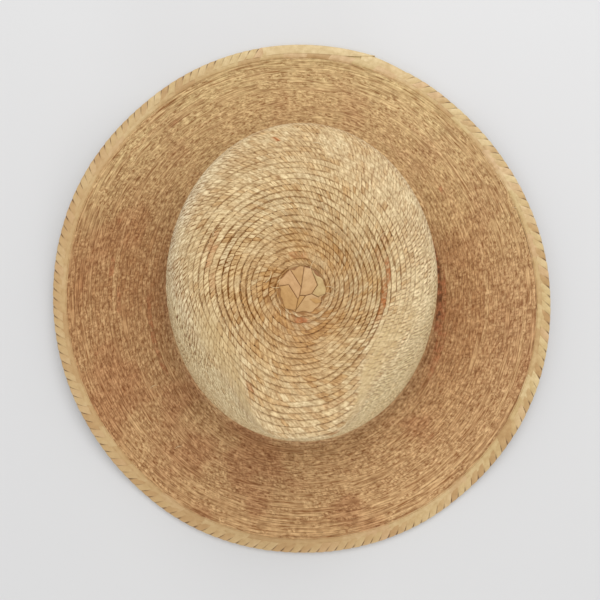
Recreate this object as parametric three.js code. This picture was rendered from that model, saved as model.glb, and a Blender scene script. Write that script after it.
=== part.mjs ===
// Wide-brim fedora of sewn palm-leaf braid, resting on the front and back of its brim.
// Millimetres, +Z up, front of the hat towards -Y, origin on the floor below the middle of the brim.

import * as THREE from 'three';

// Walls and the gap between pieces
const STRAW = 2.0;
const CLEARANCE = 0.3;

// Steps round the hat
const BEARINGS = 64;

// Brim: height of its upper face at the crown, and the bend that climbs to the crown wall
const ROOT_HEIGHT = 14;
const ROOT_BEND = 4;
const BEND_STEPS = 3;
const BRIM_STEPS = 10;

// Brim sag: where the fall to the edge starts and ends, as shares of the width, and how softly
const FALL_START = 0.02;
const FALL_END = 0.86;
const FALL_EASE = 0.3;

// Brim edge: side lift above the resting front and back, and half the arc that lies flat there
const SIDE_LIFT = 11;
const RESTING_HALF_ARC = 35;

// Binding: a plait folded over the edge, an upper and a lower leaf round a slot
const BINDING_LEAF = 0.9;
const BINDING_OVER = 8.0;
const BINDING_UNDER = 7.6;
const BINDING_ROUND = 0.7;
const BINDING_BULGE = 0.25;

// Crown: bearing of the two dents from the front, and how far each fades to the front and the back
const PINCH_BEARING = 40;
const PINCH_TO_FRONT = 32;
const PINCH_TO_BACK = 60;
const CROWN_STEPS = [2, 2, 3, 3, 3, 3, 2, 2];

// Button at the tip
const BUTTON_RADIUS = 13;
const BUTTON_DOME = 0.8;
const BUTTON_HAUNCH = 0.6;
const BUTTON_EDGE = 0.4;
const BUTTON_SIDES = 32;

// Crown sections, from the bend of the brim up over the rim and down into the hollow top.
// height is above the floor, and setback moves the oval's middle towards the back.
// side, front and back are the oval's reaches. The back is half an ellipse, and a power over 2
// makes the front a squarer half.
// pinch is the depth of the front dents, as a share of the reach.
const CROWN_SECTIONS = [
  { name: 'root', height: 18.3, setback: 0.7, side: 87.6, front: 97.0, back: 99.4, power: 2.0, pinch: 0 },
  { name: 'low_wall', height: 42, setback: 1.8, side: 84.8, front: 94.0, back: 98.0, power: 2.0, pinch: 0.015 },
  { name: 'high_wall', height: 72, setback: 3.3, side: 80.4, front: 90.0, back: 94.6, power: 2.05, pinch: 0.06 },
  { name: 'shoulder', height: 96, setback: 4.8, side: 75.0, front: 87.5, back: 88.8, power: 2.15, pinch: 0.14 },
  { name: 'turn', height: 106.5, setback: 6.3, side: 67.5, front: 88.0, back: 77.5, power: 2.25, pinch: 0.21 },
  { name: 'rim', height: 112, setback: 8.3, side: 54.0, front: 87.0, back: 52.0, power: 2.3, pinch: 0.25 },
  { name: 'slope', height: 109, setback: 6.3, side: 40.0, front: 62.0, back: 38.0, power: 2.2, pinch: 0.16 },
  { name: 'basin', height: 104.5, setback: 2.3, side: 24.0, front: 30.0, back: 26.0, power: 2.05, pinch: 0.03 },
  { name: 'tip', height: 103, setback: -0.7, side: 13.3, front: 13.3, back: 13.3, power: 2.0, pinch: 0 },
];

// Outline of the finished edge: reach from the middle, by bearing from the right, anticlockwise from above.
const BRIM_OUTLINE = [
  { bearing: 0, reach: 166.0 },
  { bearing: 30, reach: 164.5 },
  { bearing: 60, reach: 169.8 },
  { bearing: 90, reach: 173.3 },
  { bearing: 120, reach: 172.2 },
  { bearing: 150, reach: 168.0 },
  { bearing: 180, reach: 166.0 },
  { bearing: 210, reach: 167.0 },
  { bearing: 240, reach: 172.2 },
  { bearing: 270, reach: 173.3 },
  { bearing: 300, reach: 173.4 },
  { bearing: 330, reach: 169.6 },
];

// Sizes that follow from the ones above
const SLOT_HALF = STRAW / 2 + CLEARANCE;
const BINDING_HALF = SLOT_HALF + BINDING_LEAF;
const EDGE_INSET = CLEARANCE + BINDING_LEAF;
const EDGE_HEIGHT = BINDING_HALF + STRAW / 2;
const LEVEL_FROM = Math.sin(THREE.MathUtils.degToRad(RESTING_HALF_ARC));

// Straw finishes
const PALE_BRAID = { color: 0xdcc08f, roughness: 0.7, metalness: 0 };
const TOASTED_BRAID = { color: 0xb98a58, roughness: 0.72, metalness: 0 };
const EDGE_PLAIT = { color: 0xd9ba80, roughness: 0.65, metalness: 0 };
const SMOOTH_LEAF = { color: 0xc9a06a, roughness: 0.55, metalness: 0 };

// Value between b and c on a smooth curve through four values in a row.
function between(a, b, c, d, share) {
  const slope = c - a;
  const bend = 2 * a - 5 * b + 4 * c - d;
  const twist = -a + 3 * b - 3 * c + d;
  return 0.5 * (2 * b + (slope + (bend + twist * share) * share) * share);
}

// 0 to 1 with a straight middle, rounded over the first and last part of the way.
function fall(share, ease) {
  const along = THREE.MathUtils.clamp(share, 0, 1);
  const turn = (way) => (way * way) / (2 * ease * (1 - ease));
  if (along < ease) return turn(along);
  if (along > 1 - ease) return 1 - turn(1 - along);
  return (along - ease / 2) / (1 - ease);
}

// Reach of the finished edge at an angle in radians.
function edgeReach(angle) {
  const count = BRIM_OUTLINE.length;
  const place = ((angle / (2 * Math.PI)) * count + count) % count;
  const first = Math.floor(place);
  const reach = (offset) => BRIM_OUTLINE[(first + offset + count) % count].reach;
  return between(reach(-1), reach(0), reach(1), reach(2), place - first);
}

// Rise of the edge above its resting front and back at an angle.
function edgeLift(angle) {
  const toSide = (Math.abs(Math.cos(angle)) - LEVEL_FROM) / (1 - LEVEL_FROM);
  return SIDE_LIFT * THREE.MathUtils.smoothstep(toSide, 0, 1);
}

// Depth of the dent at an angle, 1 in the middle of each dent.
function dent(angle) {
  const fromFront = THREE.MathUtils.radToDeg(Math.atan2(Math.abs(Math.cos(angle)), -Math.sin(angle)));
  const spread = fromFront < PINCH_BEARING ? PINCH_TO_FRONT : PINCH_TO_BACK;
  const away = Math.min(Math.abs(fromFront - PINCH_BEARING) / spread, 1);
  return 0.5 * (1 + Math.cos(Math.PI * away));
}

// Point of one crown section at an angle.
function sectionPoint(section, angle) {
  const across = Math.cos(angle);
  const along = Math.sin(angle);
  const reach = along < 0 ? section.front : section.back;
  const power = along < 0 ? section.power : 2;
  const sum = Math.abs(across / section.side) ** power + Math.abs(along / reach) ** power;
  const radius = sum ** (-1 / power) * (1 - section.pinch * dent(angle));
  return new THREE.Vector3(radius * across, section.setback + radius * along, section.height);
}

// Line over the crown at an angle, from the root to the tip.
function crownLine(angle) {
  const knots = CROWN_SECTIONS.map((section) => sectionPoint(section, angle));
  const last = knots.length - 1;
  const before = knots[0].clone().multiplyScalar(2).sub(knots[1]);
  const after = knots[last].clone().multiplyScalar(2).sub(knots[last - 1]);
  const row = [before, ...knots, after];
  const line = [knots[0]];
  CROWN_STEPS.forEach((steps, span) => {
    const [a, b, c, d] = row.slice(span, span + 4);
    for (let step = 1; step <= steps; step += 1) {
      const share = step / steps;
      const at = (axis) => between(a[axis], b[axis], c[axis], d[axis], share);
      line.push(new THREE.Vector3(at('x'), at('y'), at('z')));
    }
  });
  return line;
}

// Line over the upper face of the brim at an angle, from its edge in to the bend and up it.
function brimLine(angle) {
  const root = sectionPoint(CROWN_SECTIONS[0], angle);
  const outward = new THREE.Vector3(Math.cos(angle), Math.sin(angle), 0);
  const edge = outward.clone().multiplyScalar(edgeReach(angle) - EDGE_INSET);
  edge.z = EDGE_HEIGHT + edgeLift(angle);
  const foot = root.clone().addScaledVector(outward, ROOT_BEND).setZ(ROOT_HEIGHT);
  const line = [];
  for (let step = 0; step < BRIM_STEPS; step += 1) {
    const share = 1 - step / BRIM_STEPS;
    const sag = fall((share - FALL_START) / (FALL_END - FALL_START), FALL_EASE);
    const point = foot.clone().lerp(edge, share);
    point.z = THREE.MathUtils.lerp(foot.z, edge.z, sag);
    line.push(point);
  }
  for (let step = BEND_STEPS; step >= 0; step -= 1) {
    const turn = ((step / BEND_STEPS) * Math.PI) / 2;
    const point = root.clone().addScaledVector(outward, ROOT_BEND * (1 - Math.cos(turn)));
    line.push(point.setZ(ROOT_HEIGHT + ROOT_BEND * (1 - Math.sin(turn))));
  }
  return line;
}

// Closed surface through rings of points, joined ring to ring and the last ring to the first.
function loopedRings(rings) {
  const around = rings[0].length;
  const positions = rings.flat().flatMap((point) => point.toArray());
  const index = [];
  rings.forEach((ring, row) => {
    const here = row * around;
    const above = ((row + 1) % rings.length) * around;
    for (let step = 0; step < around; step += 1) {
      const next = (step + 1) % around;
      index.push(here + step, here + next, above + next);
      index.push(here + step, above + next, above + step);
    }
  });
  const geometry = new THREE.BufferGeometry();
  geometry.setAttribute('position', new THREE.Float32BufferAttribute(positions, 3));
  geometry.setIndex(index);
  geometry.computeVertexNormals();
  return geometry;
}

// Outward direction of a surface of lines at one point, from its neighbours.
function surfaceNormal(lines, step, row) {
  const count = lines.length;
  const line = lines[step];
  const up = line[Math.min(row + 1, line.length - 1)].clone().sub(line[Math.max(row - 1, 0)]);
  const next = lines[(step + 1) % count][row];
  const before = lines[(step + count - 1) % count][row];
  return next.clone().sub(before).cross(up).normalize();
}

// Hollow wall below the surface of lines: the outer face one way and the inner face back.
// setEnds turns the inward direction at the first and last row, so that each cut end lies level
// or upright and keeps an even gap to its neighbour.
function strawWall(lines, setEnds) {
  const rows = lines[0].length;
  const outer = [];
  const inner = [];
  for (let row = 0; row < rows; row += 1) {
    outer.push(lines.map((line) => line[row]));
    inner.push(lines.map((line, step) => {
      const inward = surfaceNormal(lines, step, row).negate();
      setEnds(inward, row, rows);
      return line[row].clone().addScaledVector(inward, STRAW);
    }));
  }
  return loopedRings([...outer, ...inner.reverse()]);
}

function piece(name, geometry, finish) {
  const mesh = new THREE.Mesh(geometry, new THREE.MeshStandardMaterial(finish));
  mesh.name = name;
  return mesh;
}

const angles = Array.from({ length: BEARINGS }, (_, step) => (step / BEARINGS) * 2 * Math.PI);

// The wall stands level at the root and upright at the tip.
function crown() {
  const lines = angles.map(crownLine);
  const geometry = strawWall(lines, (inward, row, rows) => {
    if (row === 0) inward.setZ(0).normalize();
    if (row === rows - 1) inward.set(0, 0, -1);
  });
  return piece('crown', geometry, PALE_BRAID);
}

// The wall is upright at the edge and level at the top of the bend.
function brim() {
  const lines = angles.map(brimLine);
  const geometry = strawWall(lines, (inward, row, rows) => {
    if (row === 0) inward.set(0, 0, -1);
    if (row === rows - 1) inward.setZ(0).normalize();
  });
  return piece('brim', geometry, TOASTED_BRAID);
}

// Folded plait: its section is out from the slot's end and up from the middle of the brim's edge.
function brimBinding() {
  const section = [
    { out: -BINDING_UNDER, up: -BINDING_HALF },
    { out: CLEARANCE, up: -BINDING_HALF },
    { out: EDGE_INSET - BINDING_BULGE, up: -BINDING_HALF + BINDING_ROUND },
    { out: EDGE_INSET, up: 0 },
    { out: EDGE_INSET - BINDING_BULGE, up: BINDING_HALF - BINDING_ROUND },
    { out: CLEARANCE, up: BINDING_HALF },
    { out: -BINDING_OVER, up: BINDING_HALF },
    { out: -BINDING_OVER, up: SLOT_HALF },
    { out: CLEARANCE, up: SLOT_HALF },
    { out: CLEARANCE, up: -SLOT_HALF },
    { out: -BINDING_UNDER, up: -SLOT_HALF },
  ];
  const rings = section.map(({ out, up }) => angles.map((angle) => {
    const radius = edgeReach(angle) - EDGE_INSET + out;
    const height = BINDING_HALF + edgeLift(angle) + up;
    return new THREE.Vector3(radius * Math.cos(angle), radius * Math.sin(angle), height);
  }));
  return piece('brim_binding', loopedRings(rings), EDGE_PLAIT);
}

// Low domed disc in the hole at the crown's tip.
function crownButton() {
  const tip = CROWN_SECTIONS[CROWN_SECTIONS.length - 1];
  const profile = [
    new THREE.Vector2(0, -STRAW),
    new THREE.Vector2(BUTTON_RADIUS - BUTTON_EDGE, -STRAW),
    new THREE.Vector2(BUTTON_RADIUS, -STRAW + BUTTON_EDGE),
    new THREE.Vector2(BUTTON_RADIUS, -BUTTON_EDGE),
    new THREE.Vector2(BUTTON_RADIUS - BUTTON_EDGE, 0),
    new THREE.Vector2(BUTTON_RADIUS / 2, BUTTON_HAUNCH),
    new THREE.Vector2(0, BUTTON_DOME),
  ];
  const button = piece('crown_button', new THREE.LatheGeometry(profile, BUTTON_SIDES), SMOOTH_LEAF);
  button.rotation.x = Math.PI / 2;
  button.position.set(0, tip.setback, tip.height);
  return button;
}

const hat = new THREE.Group();
hat.add(crown(), crownButton(), brim(), brimBinding());

export default hat;
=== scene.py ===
"""Wide-brim fedora of sewn palm-leaf braid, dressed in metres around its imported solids."""

import logging
import math
from collections.abc import Callable
from dataclasses import astuple, dataclass, field, replace
from enum import Enum

import bmesh
import bpy
import numpy as np
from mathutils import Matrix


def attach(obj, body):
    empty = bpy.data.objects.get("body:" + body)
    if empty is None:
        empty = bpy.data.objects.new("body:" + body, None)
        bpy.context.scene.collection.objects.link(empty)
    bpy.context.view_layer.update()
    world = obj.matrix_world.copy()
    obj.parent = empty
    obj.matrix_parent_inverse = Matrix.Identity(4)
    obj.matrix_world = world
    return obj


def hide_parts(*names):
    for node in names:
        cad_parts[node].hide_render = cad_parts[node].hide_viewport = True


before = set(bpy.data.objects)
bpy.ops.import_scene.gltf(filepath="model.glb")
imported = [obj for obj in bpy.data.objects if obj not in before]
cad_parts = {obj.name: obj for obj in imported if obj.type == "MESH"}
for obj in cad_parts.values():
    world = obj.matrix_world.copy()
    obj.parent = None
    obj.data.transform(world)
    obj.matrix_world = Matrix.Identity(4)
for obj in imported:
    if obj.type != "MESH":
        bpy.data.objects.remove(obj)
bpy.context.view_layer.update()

LOG = logging.getLogger("fedora")
BODY = "root"
MM = 0.001

Array = np.ndarray
Colour = tuple[float, float, float, float]
Face = tuple[int, ...]
Pair = tuple[float, float]
Triple = tuple[float, float, float]
Material = bpy.types.Material
Mesh = bpy.types.Mesh
Node = bpy.types.Node
Piece = bpy.types.Object
Socket = bpy.types.NodeSocket
Sockets = bpy.types.bpy_prop_collection
Tree = bpy.types.NodeTree


def tone(red: int, green: int, blue: int) -> Colour:
    """Turns an 8-bit display colour into the linear colour that a shader takes.

    Args:
        red: Red, 0 to 255.
        green: Green, 0 to 255.
        blue: Blue, 0 to 255.

    Returns:
        Linear red, green, blue and an alpha of 1.
    """
    shares = (red / 255, green / 255, blue / 255)
    linear = [((share + 0.055) / 1.055) ** 2.4 if share > 0.04045 else share / 12.92 for share in shares]
    return (linear[0], linear[1], linear[2], 1.0)


def smooth_between(
    before: Array, here: Array, there: Array, after: Array, share: Array
) -> Array:
    """Values between the middle two of four in a row, on a smooth curve through all four.

    Args:
        before: Values one step back.
        here: Values at share 0.
        there: Values at share 1.
        after: Values one step on.
        share: How far the wanted values lie from here to there.

    Returns:
        The values on the curve.
    """
    slope = there - before
    bend = 2 * before - 5 * here + 4 * there - after
    twist = -before + 3 * here - 3 * there + after
    return 0.5 * (2 * here + (slope + (bend + twist * share) * share) * share)


def smooth_step(share: Array) -> Array:
    """0 to 1 with a soft start and end."""
    held = np.clip(share, 0.0, 1.0)
    return held * held * (3 - 2 * held)


class Winding(Enum):
    """Which way a sewn braid winds outwards, seen from above."""

    ANTICLOCKWISE = 1
    CLOCKWISE = -1


@dataclass(frozen=True)
class CrownSection:
    """One level oval of the crown, in millimetres; pinch is the dents' depth as a share of the reach."""

    height: float
    setback: float
    side: float
    front: float
    back: float
    power: float
    pinch: float


@dataclass(frozen=True)
class HatForm:
    """The upper faces of the crown and brim, as lines at each bearing, in millimetres.

    The crown's sections run from the bend of the brim up over the rim and into the hollow top.
    Bearings start at the right and go anticlockwise from above, so 270 degrees is the front.
    """

    sections: tuple[CrownSection, ...] = (
        CrownSection(18.3, 0.7, 87.6, 97.0, 99.4, 2.0, 0.0),
        CrownSection(42.0, 1.8, 84.8, 94.0, 98.0, 2.0, 0.015),
        CrownSection(72.0, 3.3, 80.4, 90.0, 94.6, 2.05, 0.06),
        CrownSection(96.0, 4.8, 75.0, 87.5, 88.8, 2.15, 0.14),
        CrownSection(106.5, 6.3, 67.5, 88.0, 77.5, 2.25, 0.21),
        CrownSection(112.0, 8.3, 54.0, 87.0, 52.0, 2.3, 0.25),
        CrownSection(109.0, 6.3, 40.0, 62.0, 38.0, 2.2, 0.16),
        CrownSection(104.5, 2.3, 24.0, 30.0, 26.0, 2.05, 0.03),
        CrownSection(103.0, -0.7, 13.3, 13.3, 13.3, 2.0, 0.0),
    )
    edge_reaches: tuple[float, ...] = (
        166.0, 164.5, 169.8, 173.3, 172.2, 168.0, 166.0, 167.0, 172.2, 173.3, 173.4, 169.6,
    )
    dent_bearing: float = 40.0
    dent_to_front: float = 32.0
    dent_to_back: float = 60.0
    root_height: float = 14.0
    root_bend: float = 4.0
    fall_start: float = 0.02
    fall_end: float = 0.86
    fall_ease: float = 0.3
    edge_inset: float = 1.2
    edge_middle: float = 2.2
    edge_half: float = 1.0
    side_lift: float = 11.0
    resting_half_arc: float = 35.0
    span_steps: int = 24
    brim_steps: int = 80

    def edge_reach(self, angle: Array) -> Array:
        """Reach of the finished edge from the middle.

        Args:
            angle: Bearings in radians.

        Returns:
            One reach for each bearing, in millimetres.
        """
        reaches = np.array(self.edge_reaches)
        place = angle / math.tau * len(reaches) % len(reaches)
        first = np.floor(place).astype(int)
        four = [reaches[(first + offset) % len(reaches)] for offset in (-1, 0, 1, 2)]
        return smooth_between(*four, place - first)

    def edge_lift(self, angle: Array) -> Array:
        """Rise of the edge at each angle above its resting front and back."""
        level = math.sin(math.radians(self.resting_half_arc))
        return self.side_lift * smooth_step((np.abs(np.cos(angle)) - level) / (1 - level))

    def dent(self, angle: Array) -> Array:
        """Depth of the front dents.

        Args:
            angle: Bearings in radians.

        Returns:
            One share for each bearing, 1 in the middle of each dent.
        """
        from_front = np.degrees(np.arctan2(np.abs(np.cos(angle)), -np.sin(angle)))
        spread = np.where(from_front < self.dent_bearing, self.dent_to_front, self.dent_to_back)
        away = np.minimum(np.abs(from_front - self.dent_bearing) / spread, 1.0)
        return 0.5 * (1 + np.cos(np.pi * away))

    def fall(self, share: Array) -> Array:
        """How the brim drops, straight with rounded ends.

        Args:
            share: Shares of the brim's width.

        Returns:
            The share of the drop at each of them.
        """
        ease = self.fall_ease
        along = np.clip((share - self.fall_start) / (self.fall_end - self.fall_start), 0.0, 1.0)
        start = along**2 / (2 * ease * (1 - ease))
        end = 1 - (1 - along) ** 2 / (2 * ease * (1 - ease))
        middle = (along - ease / 2) / (1 - ease)
        return np.where(along < ease, start, np.where(along > 1 - ease, end, middle))

    def section_points(self, section: CrownSection, angle: Array) -> Array:
        """Points of one crown section.

        Args:
            section: The oval.
            angle: Bearings in radians.

        Returns:
            One point for each bearing, in millimetres.
        """
        across = np.cos(angle)
        along = np.sin(angle)
        reach = np.where(along < 0, section.front, section.back)
        power = np.where(along < 0, section.power, 2.0)
        total = np.abs(across / section.side) ** power + np.abs(along / reach) ** power
        radius = total ** (-1 / power) * (1 - section.pinch * self.dent(angle))
        height = np.full_like(radius, section.height)
        return np.stack([radius * across, section.setback + radius * along, height], axis=-1)

    def crown_lines(self, angle: Array) -> tuple[Array, Array]:
        """Lines over the crown from the tip to the root.

        Args:
            angle: Bearings in radians.

        Returns:
            Points in metres, bearing by step, and each step's zone, 0 at the tip and 1 at the root.
        """
        knots = np.stack([self.section_points(section, angle) for section in self.sections[::-1]], axis=1)
        first_end = 2 * knots[:, :1] - knots[:, 1:2]
        last_end = 2 * knots[:, -1:] - knots[:, -2:-1]
        row = np.concatenate([first_end, knots, last_end], axis=1)
        spans = len(self.sections) - 1
        places = np.linspace(0, spans, spans * self.span_steps + 1)
        first = np.minimum(places.astype(int), spans - 1)
        four = [row[:, first + offset] for offset in range(4)]
        return smooth_between(*four, (places - first)[None, :, None]) * MM, places / spans

    def brim_lines(self, angle: Array) -> tuple[Array, Array]:
        """Lines over the brim from the top of its bend out to its edge.

        Args:
            angle: Bearings in radians.

        Returns:
            Points in metres, bearing by step, and each step's zone, 0 at the crown and 1 at the edge.
        """
        root = self.section_points(self.sections[0], angle)[:, None]
        outward = np.stack([np.cos(angle), np.sin(angle), np.zeros_like(angle)], axis=-1)[:, None]
        turn = np.linspace(0, math.pi / 2, self.span_steps, endpoint=False)[None, :]
        climb = root + outward * (self.root_bend * (1 - np.cos(turn)))[..., None]
        climb[..., 2] = self.root_height + self.root_bend * (1 - np.sin(turn))
        foot = root + outward * self.root_bend
        foot[..., 2] = self.root_height
        edge = outward * (self.edge_reach(angle) - self.edge_inset)[:, None, None]
        edge[..., 2] = (self.edge_middle + self.edge_half + self.edge_lift(angle))[:, None]
        share = np.linspace(0, 1, self.brim_steps)[None, :]
        slope = foot + (edge - foot) * share[..., None]
        slope[..., 2] = foot[..., 2] + (edge[..., 2] - foot[..., 2]) * self.fall(share)
        steps = self.span_steps + self.brim_steps
        return np.concatenate([climb, slope], axis=1) * MM, np.linspace(0, 1, steps)

    def edge_points(self, angle: Array, out: Array, up: Array) -> Array:
        """Points beside the brim's edge.

        Args:
            angle: Bearings in radians.
            out: Outwards from the end of the braid, in millimetres.
            up: Up from the middle of the braid's thickness at the edge, in millimetres.

        Returns:
            Points in metres.
        """
        radius = self.edge_reach(angle) - self.edge_inset + out
        height = self.edge_middle + self.edge_lift(angle) + up
        return np.stack([radius * np.cos(angle), radius * np.sin(angle), height], axis=-1) * MM


@dataclass
class Skin:
    """A surface of lines round the hat, each resampled evenly from its inner to its outer end."""

    lines: Callable[[Array], tuple[Array, Array]]
    bearings: int = 480
    steps: int = 240
    points: Array = field(init=False)
    normals: Array = field(init=False)
    zones: Array = field(init=False)
    length: float = field(init=False)
    girths: Array = field(init=False)

    def __post_init__(self) -> None:
        """Samples the lines and works out the directions that face out."""
        angle = np.linspace(0, math.tau, self.bearings, endpoint=False)
        raw, zone = self.lines(angle)
        hops = np.linalg.norm(np.diff(raw, axis=1), axis=2)
        run = np.concatenate([np.zeros((self.bearings, 1)), np.cumsum(hops, axis=1)], axis=1)
        self.length = float(run[:, -1].mean())
        points = np.empty((self.bearings, self.steps + 1, 3))
        zones = np.empty((self.bearings, self.steps + 1))
        for row in range(self.bearings):
            wanted = np.linspace(0, run[row, -1], self.steps + 1)
            for axis in range(3):
                points[row, :, axis] = np.interp(wanted, run[row], raw[row, :, axis])
            zones[row] = np.interp(wanted, run[row], zone)
        around = np.roll(points, -1, axis=0) - np.roll(points, 1, axis=0)
        along = np.gradient(points, axis=1)
        facing = np.cross(along, around)
        facing /= np.linalg.norm(facing, axis=2, keepdims=True)
        self.girths = np.linalg.norm(np.roll(points, -1, axis=0) - points, axis=2).sum(axis=0)
        self.points = np.concatenate([points, points[:1]])
        self.normals = np.concatenate([facing, facing[:1]])
        self.zones = np.concatenate([zones, zones[:1]])

    def girth(self, share: Array) -> Array:
        """Length once round the hat at each share of the way out, in metres."""
        return np.interp(share, np.linspace(0, 1, self.steps + 1), self.girths)

    def sheet(self, name: str, around: int, along: int, reach: float) -> Mesh:
        """A coarse mesh of the skin, with its faces pointing out.

        Args:
            name: The mesh's name.
            around: Bearings from one of its points to the next.
            along: Steps from one of its points to the next.
            reach: Share of the way out that it covers.

        Returns:
            The mesh.
        """
        grid = self.points[::around, : round(reach * self.steps) + 1 : along]
        columns, rows = grid.shape[:2]
        first = np.arange(columns - 1)[:, None] * rows + np.arange(rows - 1)[None, :]
        quads = np.stack([first, first + 1, first + rows + 1, first + rows], axis=-1).reshape(-1, 4)
        mesh = bpy.data.meshes.new(name)
        mesh.from_pydata(grid.reshape(-1, 3).tolist(), [], quads.tolist())
        return mesh

    def sample(self, angle: Array, share: Array) -> tuple[Array, Array, Array]:
        """Looks up places on the skin, and straight on past its two ends.

        Args:
            angle: Bearings in radians.
            share: Shares of the way from the inner end to the outer end.

        Returns:
            Points, the directions that face out, and the zones.
        """
        across = angle / math.tau % 1.0 * self.bearings
        along = share * self.steps
        column = np.minimum(across.astype(int), self.bearings - 1)
        step = np.clip(np.floor(along).astype(int), 0, self.steps - 1)
        side = across - column
        rest = along - step
        looked_up = []
        for table in (self.points, self.normals, self.zones[..., None]):
            low = table[column, step] * (1 - rest)[..., None] + table[column, step + 1] * rest[..., None]
            high = table[column + 1, step] * (1 - rest)[..., None]
            high = high + table[column + 1, step + 1] * rest[..., None]
            looked_up.append(low * (1 - side)[..., None] + high * side[..., None])
        points, normals, zones = looked_up
        normals = normals / np.linalg.norm(normals, axis=-1, keepdims=True)
        return points, normals, zones[..., 0]


@dataclass(frozen=True)
class MeshParts:
    """Points, faces, one UV for each face corner and named values for each point."""

    points: Array
    faces: list[Face]
    uvs: Array
    values: dict[str, Array] = field(default_factory=dict)

    @classmethod
    def mapped(cls, points: Array, faces: list[Face], flat: Array) -> "MeshParts":
        """Parts whose map gives each point one place."""
        return cls(points, faces, np.concatenate([flat[list(face)] for face in faces]))

    def toned(self, tone_share: float) -> "MeshParts":
        """The same parts with one leaf tone all over."""
        return replace(self, values={"leaf": np.full(len(self.points), tone_share)})


def tube_faces(rings: int, corners: int, first: int = 0) -> list[Face]:
    """Faces between rings of points that lie one after another.

    Args:
        rings: How many rings there are.
        corners: How many points each of them has.
        first: Number of the first ring's first point.

    Returns:
        The faces, ring by ring.
    """
    faces: list[Face] = []
    for start in range(first, first + (rings - 1) * corners, corners):
        for corner in range(corners):
            here = start + corner
            beside = start + (corner + 1) % corners
            faces.append((here, beside, beside + corners, here + corners))
    return faces


def joined(shells: list[MeshParts]) -> MeshParts:
    """Puts several shells into one set of parts.

    Args:
        shells: The shells, each with the same named values.

    Returns:
        All of them, in order.
    """
    faces: list[Face] = []
    offset = 0
    for shell in shells:
        faces += [tuple(corner + offset for corner in face) for face in shell.faces]
        offset += len(shell.points)
    points = np.concatenate([shell.points for shell in shells])
    uvs = np.concatenate([shell.uvs for shell in shells])
    labels = shells[0].values
    values = {label: np.concatenate([shell.values[label] for shell in shells]) for label in labels}
    return MeshParts(points, faces, uvs, values)


def swept(rings: Array, uvs: Array) -> MeshParts:
    """Joins rings of points into a tube with a cap at each end.

    Args:
        rings: Points, ring by ring, each ring going round the section.
        uvs: One UV for each point.

    Returns:
        A closed shell.
    """
    count, corners = rings.shape[:2]
    faces: list[Face] = [tuple(range(corners))[::-1]]
    faces += tube_faces(count, corners)
    faces.append(tuple(range((count - 1) * corners, count * corners)))
    return MeshParts.mapped(rings.reshape(-1, 3), faces, uvs.reshape(-1, 2))


def put_in_scene(name: str, data: bpy.types.ID) -> Piece:
    """Makes an object of a mesh, a lamp or a camera.

    Args:
        name: The object's name.
        data: What it shows, gives or sees with.

    Returns:
        The object, linked to the scene.
    """
    made = bpy.data.objects.new(name, data)
    bpy.context.scene.collection.objects.link(made)
    return made


def make_object(name: str, parts: MeshParts, crease: float) -> Piece:
    """Makes a mesh object with a UV map and turns its faces outwards.

    Args:
        name: The piece's name.
        parts: What the mesh is made of, as one or more closed shells.
        crease: Angle between faces, in degrees, from which an edge stays sharp.

    Returns:
        The object, linked to the scene.
    """
    mesh = bpy.data.meshes.new(name)
    mesh.from_pydata(parts.points.tolist(), [], parts.faces)
    layer = mesh.uv_layers.new(name="strips")
    layer.data.foreach_set("uv", np.asarray(parts.uvs, dtype=np.float32).ravel())
    for label, numbers in parts.values.items():
        named = mesh.attributes.new(label, "FLOAT", "POINT")
        named.data.foreach_set("value", np.asarray(numbers, dtype=np.float32))
    mesh.validate()
    work = bmesh.new()
    work.from_mesh(mesh)
    if work.calc_volume(signed=True) < 0:
        mesh.flip_normals()
    work.free()
    mesh.shade_smooth()
    mesh.set_sharp_from_angle(angle=math.radians(crease))
    return put_in_scene(name, mesh)


def settle(piece: Piece, slot: str, *nodes: str) -> None:
    """Fixes a finished piece to the hat.

    Args:
        piece: The object.
        slot: The record's material slot for the piece; not used.
        nodes: Solids that it stands for.
    """
    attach(piece, BODY)
    if nodes:
        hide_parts(*nodes)
    LOG.info("%s: %d faces", piece.name, len(piece.data.polygons))


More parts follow.
